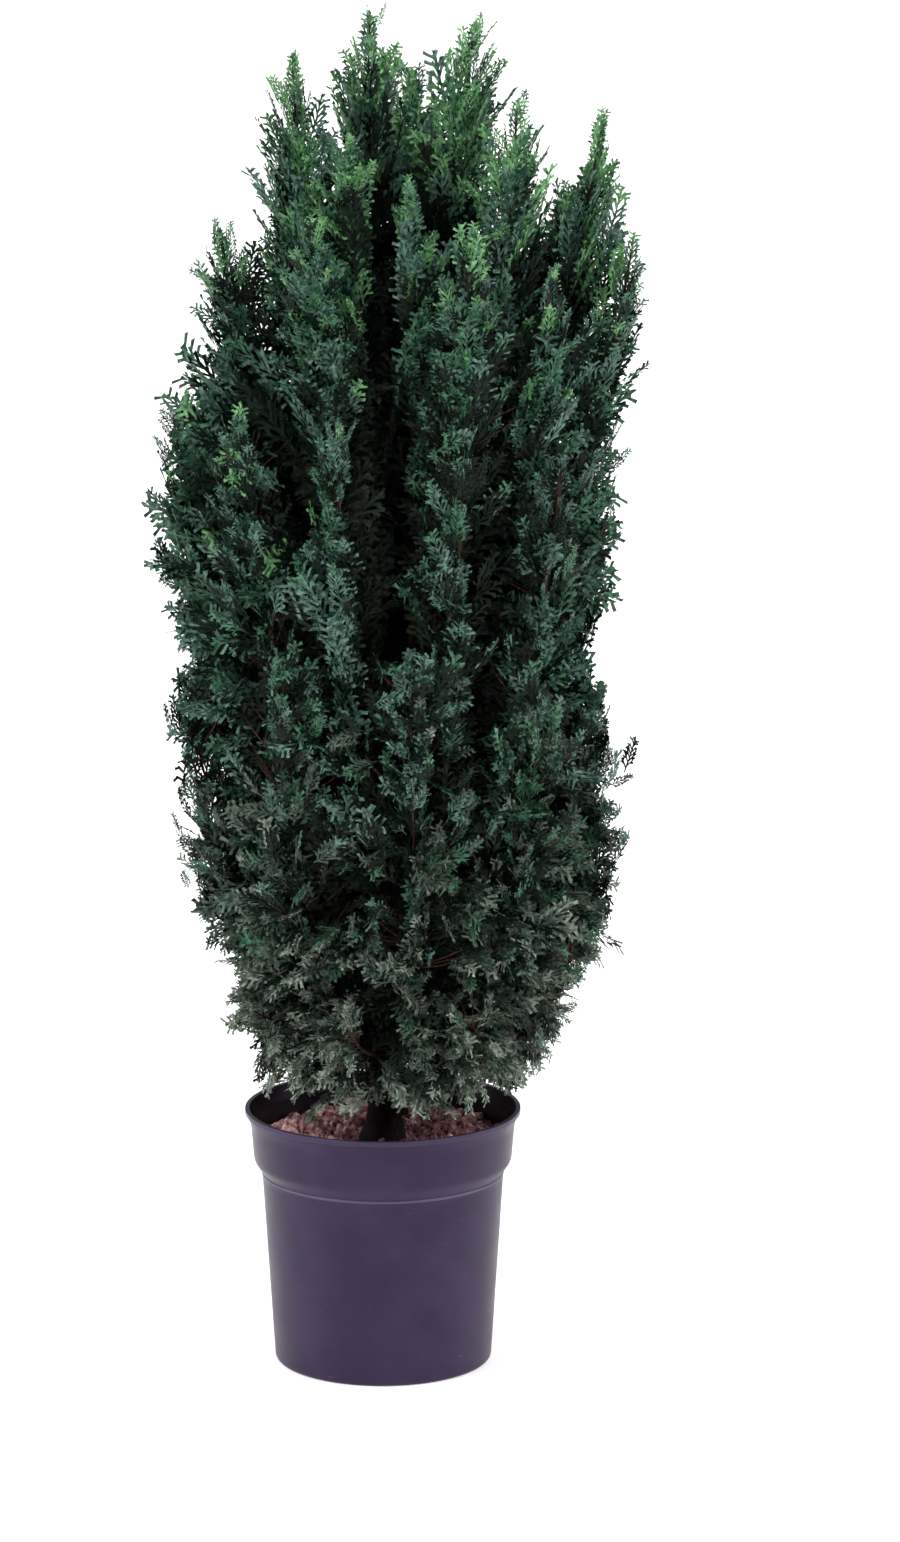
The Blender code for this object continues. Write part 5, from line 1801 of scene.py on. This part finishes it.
    def grow_face(self, plume: Plume, draw: random.Random) -> None:
        """Grow the short sprays that hide the stem from outside, and the two that end the plume.

        Args:
            plume: the plume.
            draw: the plume's seeded source of chance.
        """
        rule, tier = self.face, plume.plan.tier
        for k in range(rule.count):
            share = rule.first + rule.span * (k + draw.uniform(0.0, 1.0)) / rule.count
            place, way = plume.stem_at(share)
            turn = draw.uniform(-rule.turn, rule.turn)
            away = Matrix.Rotation(turn, 3, way) @ (plume.outward - way * plume.outward.dot(way)).normalized()
            root = place + away * rule.lift
            spray_way = (way + away * draw.uniform(*rule.lean)).normalized()
            normal = away + stray(draw, rule.stray)
            tones = self.tones_at(plume, share, rule.facing, root, draw)
            size = tier.spray * draw.uniform(*rule.size)
            spray = Spray(root, spray_way, normal, size, draw.uniform(*rule.bend))
            self.add_spray(plume, self.kind_at(tier, share), tones, spray, draw)
        place, way = plume.axis_at(rule.tip_from)
        for turn in rule.tip_turns:
            normal = Matrix.Rotation(turn, 3, way) @ plume.outward
            tones = self.tones_at(plume, rule.tip_share, 1.0, place, draw)
            spray = Spray(place, way, normal, (Vector(plume.plan.tip) - place).length,
                          draw.uniform(-rule.tip_bend, rule.tip_bend))
            self.add_spray(plume, tier.high_kind, tones, spray, draw)

    def grow_inside(self, plume: Plume, draw: random.Random) -> None:
        """Grow the sprays in near-black painted shade low on the stem and on the limb, which close the
        crown's inside.

        Args:
            plume: the plume.
            draw: the plume's seeded source of chance.
        """
        rule = self.inner_shade
        for k in range(rule.count):
            place = plume.stem_at(draw.uniform(*rule.share))[0]
            turn = draw.uniform(0.0, math.tau)
            way = Vector((math.cos(turn), math.sin(turn), draw.uniform(*rule.rise))).normalized()
            normal = stray(draw, 1.0)
            length = draw.uniform(*rule.length)
            if (place + way * length - plume.foot).dot(plume.outward) > rule.most_out:
                way -= plume.outward * 2.0 * way.dot(plume.outward)
            # Near-black painted shade: three in four wholly, the rest with a dark body.
            tones = (Tone.SHADE, Tone.SHADE) if k % 4 else (Tone.DEEP, Tone.SHADE)
            spray = Spray(place, way, normal, length, draw.uniform(-rule.bend, rule.bend))
            self.add_spray(plume, SprayKind.COARSE, tones, spray, draw)

    def grow_core(self) -> None:
        """Grow the dead brush round the trunk, behind the plumes, near black as painted shade."""
        rule = self.inner_shade
        draw = random.Random(rule.core_seed)
        trunk = self.plumes[0].trunk
        brush = self.sprays.setdefault((SprayKind.COARSE, Tone.SHADE, Tone.SHADE), Sprays())
        for _ in range(rule.core_count):
            z = draw.uniform(*rule.core_height)
            away = level_way(draw.uniform(0.0, math.tau))
            root = trunk.point(z) + away * draw.uniform(*rule.core_reach)
            way = (away + Vector((0.0, 0.0, draw.uniform(*rule.core_rise)))).normalized()
            normal = stray(draw, 1.0)
            length = draw.uniform(*rule.core_length)
            spray = Spray(root, way, normal, length, draw.uniform(-rule.bend, rule.bend))
            brush.add(spray, rule.core_cup)

    def grow_outer(self) -> None:
        """Grow the sprays that fill the crown's outline between the plumes: level low down, steep above."""
        rule = self.outer
        draw = random.Random(rule.seed)
        for _ in range(rule.count):
            z = draw.uniform(*draw.choice(rule.bands))
            away = level_way(draw.uniform(0.0, math.tau))
            middle, half = self.middle_at(z)
            place = Vector((middle, 0.0, z)) + away * half * draw.uniform(*rule.out)
            shares = self.reaches(place).min(axis=1) / self.widths
            plume = self.plumes[int(shares.argmin())]
            tier = plume.plan.tier
            rise = np.interp(z, *zip(*rule.rise)) + draw.uniform(-rule.rise_stray, rule.rise_stray)
            way = away * math.cos(math.radians(rise)) + Vector((0.0, 0.0, math.sin(math.radians(rise))))
            way = Matrix.Rotation(draw.uniform(-rule.turn, rule.turn), 3, "Z") @ way
            aside = Vector((-away.y, away.x, 0.0)) * draw.choice(rule.aside)
            normal = away * rule.face_away + aside
            normal += Vector((0.0, 0.0, rule.face_up + tier.face_up * rule.tier_face_up))
            normal += stray(draw, rule.face_stray)
            length = tier.spray * draw.uniform(*rule.size)
            tones = self.tones_at(plume, rule.share, rule.facing, place, draw)
            free_below = rule.beside_free_below if abs(away.x) > rule.beside else rule.free_below
            root = place - way * length * rule.back
            spray = Spray(root, way, normal, length * rule.longer,
                          draw.uniform(*rule.bend) + tier.bend * rule.tier_bend)
            if self.add_spray(plume, tier.low_kind, tones, spray, draw, free=z < free_below):
                self.add_carrier(plume, root, way)

    def add_carrier(self, plume: Plume, root: Vector, way: Vector) -> None:
        """Add the fine twig that carries an outer spray.

        Args:
            plume: the plume whose stem the twig starts on.
            root: where the spray's stalk starts.
            way: the direction that the spray grows in, which the twig's end takes too.
        """
        nearest = int(self.reaches(root)[plume.index].argmin())
        start = Vector(self.axes[plume.index][max(0, nearest - 1)])
        end = root + way * self.outer.carrier_past
        sag = Vector((0.0, 0.0, (end - start).length * self.outer.carrier_sag))
        self.add_twig((start, (start + end) / 2.0 - sag, end), self.outer.carrier_radii)

    def grow(self) -> None:
        """Grow the core, the outer sprays and every plume."""
        self.grow_core()
        self.grow_outer()
        for plume in self.plumes:
            draw = random.Random(self.plume_seed + plume.index)
            for step in range(plume.plan.tier.twigs):
                self.grow_twig(plume, step, draw)
            self.grow_face(plume, draw)
            self.grow_inside(plume, draw)

    def build_sprays(self) -> list[tuple[Tone, bpy.types.Object]]:
        """Return the sprays' pieces: the faces of each tone, joined, a limited number to a piece.

        Returns:
            Each piece with its tone.
        """
        gathered: dict[Tone, list[np.ndarray]] = {tone: [] for tone in Tone}
        for number, ((kind, body, tip), sprays) in enumerate(self.sprays.items()):
            source = np.random.default_rng(self.pick_seed + number)
            picks = source.integers(0, self.variants, len(sprays.roots))
            for variant in range(self.variants):
                chosen = np.flatnonzero(picks == variant)
                if not len(chosen):
                    continue
                faces, tips = kind.value.kites(random.Random(variant * self.variant_seed + len(kind.name)))
                gathered[body].append(sprays.points(faces[~tips], chosen))
                gathered[tip].append(sprays.points(faces[tips], chosen))
        pieces = []
        for tone, parts in gathered.items():
            if not parts:
                continue
            points = np.concatenate(parts)
            count = len(points) // 4
            shares = math.ceil(count / MOST_FACES)
            material = tone.value.material()
            for share in range(shares):
                first, last = count * share // shares, count * (share + 1) // shares
                faces = np.arange((last - first) * 4).reshape(-1, 4)
                name = f"sprays_{tone.name.lower()}_{share + 1}"
                mesh = mesh_from_arrays(name, points[first * 4:last * 4], faces)
                pieces.append((tone, new_piece(name, mesh, material)))
        return pieces

    def build_twigs(self) -> bpy.types.Object:
        """Return the twigs: square tapering tubes with closed ends, joined.

        Returns:
            The piece.
        """
        points, faces = [], []
        for places, radii in self.twigs:
            way = (places[-1] - places[0]).normalized()
            side = way.orthogonal().normalized()
            first = len(points)
            for place, radius in zip(places, radii):
                for corner in range(4):
                    points.append(place + Matrix.Rotation(math.tau * corner / 4.0, 3, way) @ side * radius)
            last = first + 4 * (len(places) - 1)
            faces += [(first + 3, first + 2, first + 1, first), (last, last + 1, last + 2, last + 3)]
            for ring in range(first, last, 4):
                for corner in range(4):
                    here, there = ring + corner, ring + (corner + 1) % 4
                    faces.append((here, there, there + 4, here + 4))
        mesh = mesh_from_arrays("fine_twigs", np.array([point[:] for point in points]), np.array(faces))
        return new_piece("fine_twigs", mesh, TWIG_BARK.material())

    def dress(self) -> None:
        """Grow the foliage and hand its pieces over."""
        self.grow()
        for tone, piece in self.build_sprays():
            hand_over(piece, tuple(sorted(self.nodes[tone])))
        hand_over(self.build_twigs())


# Camera, floor and light


@dataclass(frozen=True)
class Softbox:
    """One broad light: the way that it comes from, in degrees, its power and how wide it looks."""

    name: str
    azimuth: float
    elevation: float
    power: float
    width: float


@dataclass
class Studio:
    """A pale floor, soft light and the photograph's view of the plant."""

    camera_place: tuple[float, float, float] = (0.0, -5.5, 1.713)
    camera_pitch: float = 11.77
    camera_yaw: float = 0.66
    lens: float = 140.7
    sensor: float = 36.0
    ambient: float = 0.15
    white: float = 1.0
    floor_half: float = 40.0
    floor_glow: float = 0.14
    floor_seen_glow: float = 0.36
    lights: tuple[Softbox, ...] = (
        Softbox("Left softbox", -58.0, 46.0, 1.9, 28.0), Softbox("Right softbox", 60.0, 42.0, 1.4, 28.0),
        Softbox("Front fill", -4.0, 34.0, 0.28, 40.0), Softbox("Left edge", -98.0, 20.0, 0.7, 20.0),
        Softbox("Right edge", 94.0, 20.0, 0.9, 20.0), Softbox("Back light", 178.0, 55.0, 0.9, 60.0),
    )

    def build_camera(self) -> None:
        """Add the camera, level, looking down at the plant."""
        camera = bpy.data.cameras.new("Camera")
        camera.lens = self.lens
        camera.sensor_width = self.sensor
        eye = bpy.data.objects.new("Camera", camera)
        eye.location = self.camera_place
        eye.rotation_euler = Euler((
            math.radians(90.0 - self.camera_pitch), 0.0, -math.radians(self.camera_yaw),
        ))
        bpy.context.scene.collection.objects.link(eye)
        bpy.context.scene.camera = eye

    def build_floor(self) -> None:
        """Add the plain floor under the pot, white where it is seen and dimmer as a source of light."""
        mesh = bpy.data.meshes.new("floor")
        half = self.floor_half
        mesh.from_pydata([(-half, -half, 0.0), (half, -half, 0.0), (half, half, 0.0), (-half, half, 0.0)],
                         [], [(0, 1, 2, 3)])
        material, shader = new_material("Pale floor", {
            "Base Color": linear("f8f8f8"), "Roughness": 0.9, "Emission Color": linear("ffffff"),
        })
        tree = material.node_tree
        ray = add_node(tree, "ShaderNodeLightPath")
        glow = add_node(tree, "ShaderNodeMapRange", {
            "Value": ray.outputs["Is Camera Ray"], "To Min": self.floor_glow, "To Max": self.floor_seen_glow,
        })
        tree.links.new(glow.outputs[0], shader.inputs["Emission Strength"])
        new_piece("floor", mesh, material)

    def build_light(self) -> None:
        """Add a dim even sky that looks white, and broad soft lights from both sides and above."""
        world = bpy.data.worlds.new("Studio")
        world.use_nodes = True
        tree = world.node_tree
        tree.nodes.clear()
        ray = add_node(tree, "ShaderNodeLightPath")
        strength = add_node(tree, "ShaderNodeMapRange", {
            "Value": ray.outputs["Is Camera Ray"], "To Min": self.ambient, "To Max": self.white,
        })
        sky = add_node(tree, "ShaderNodeBackground", {
            "Color": (1.0, 1.0, 1.0, 1.0), "Strength": strength.outputs[0],
        })
        add_node(tree, "ShaderNodeOutputWorld", {"Surface": sky.outputs[0]})
        bpy.context.scene.world = world
        for softbox in self.lights:
            light = bpy.data.lights.new(softbox.name, "SUN")
            light.energy = softbox.power
            light.angle = math.radians(softbox.width)
            lamp = bpy.data.objects.new(softbox.name, light)
            lamp.rotation_euler = Euler((
                math.radians(90.0 - softbox.elevation), 0.0, math.radians(softbox.azimuth),
            ))
            bpy.context.scene.collection.objects.link(lamp)

    def build(self) -> None:
        """Build the whole studio and set how the picture is developed."""
        self.build_camera()
        self.build_floor()
        self.build_light()
        scene = bpy.context.scene
        scene.view_settings.view_transform = "Standard"
        scene.view_settings.look = "None"


def main() -> None:
    """Build the studio and the plant, part by part."""
    logging.basicConfig(level=logging.INFO, format="%(name)s: %(message)s")
    Studio().build()
    pot = Pot()
    pot.dress()
    Soil(pot).dress()
    bark = bark_tree()
    trunk = Trunk()
    trunk.dress(bark)
    plumes = [Plume(index, plan, trunk) for index, plan in enumerate(PLANS)]
    Limbs(plumes).dress(bark)
    Foliage(plumes).dress()


if __name__ == "__main__":
    main()
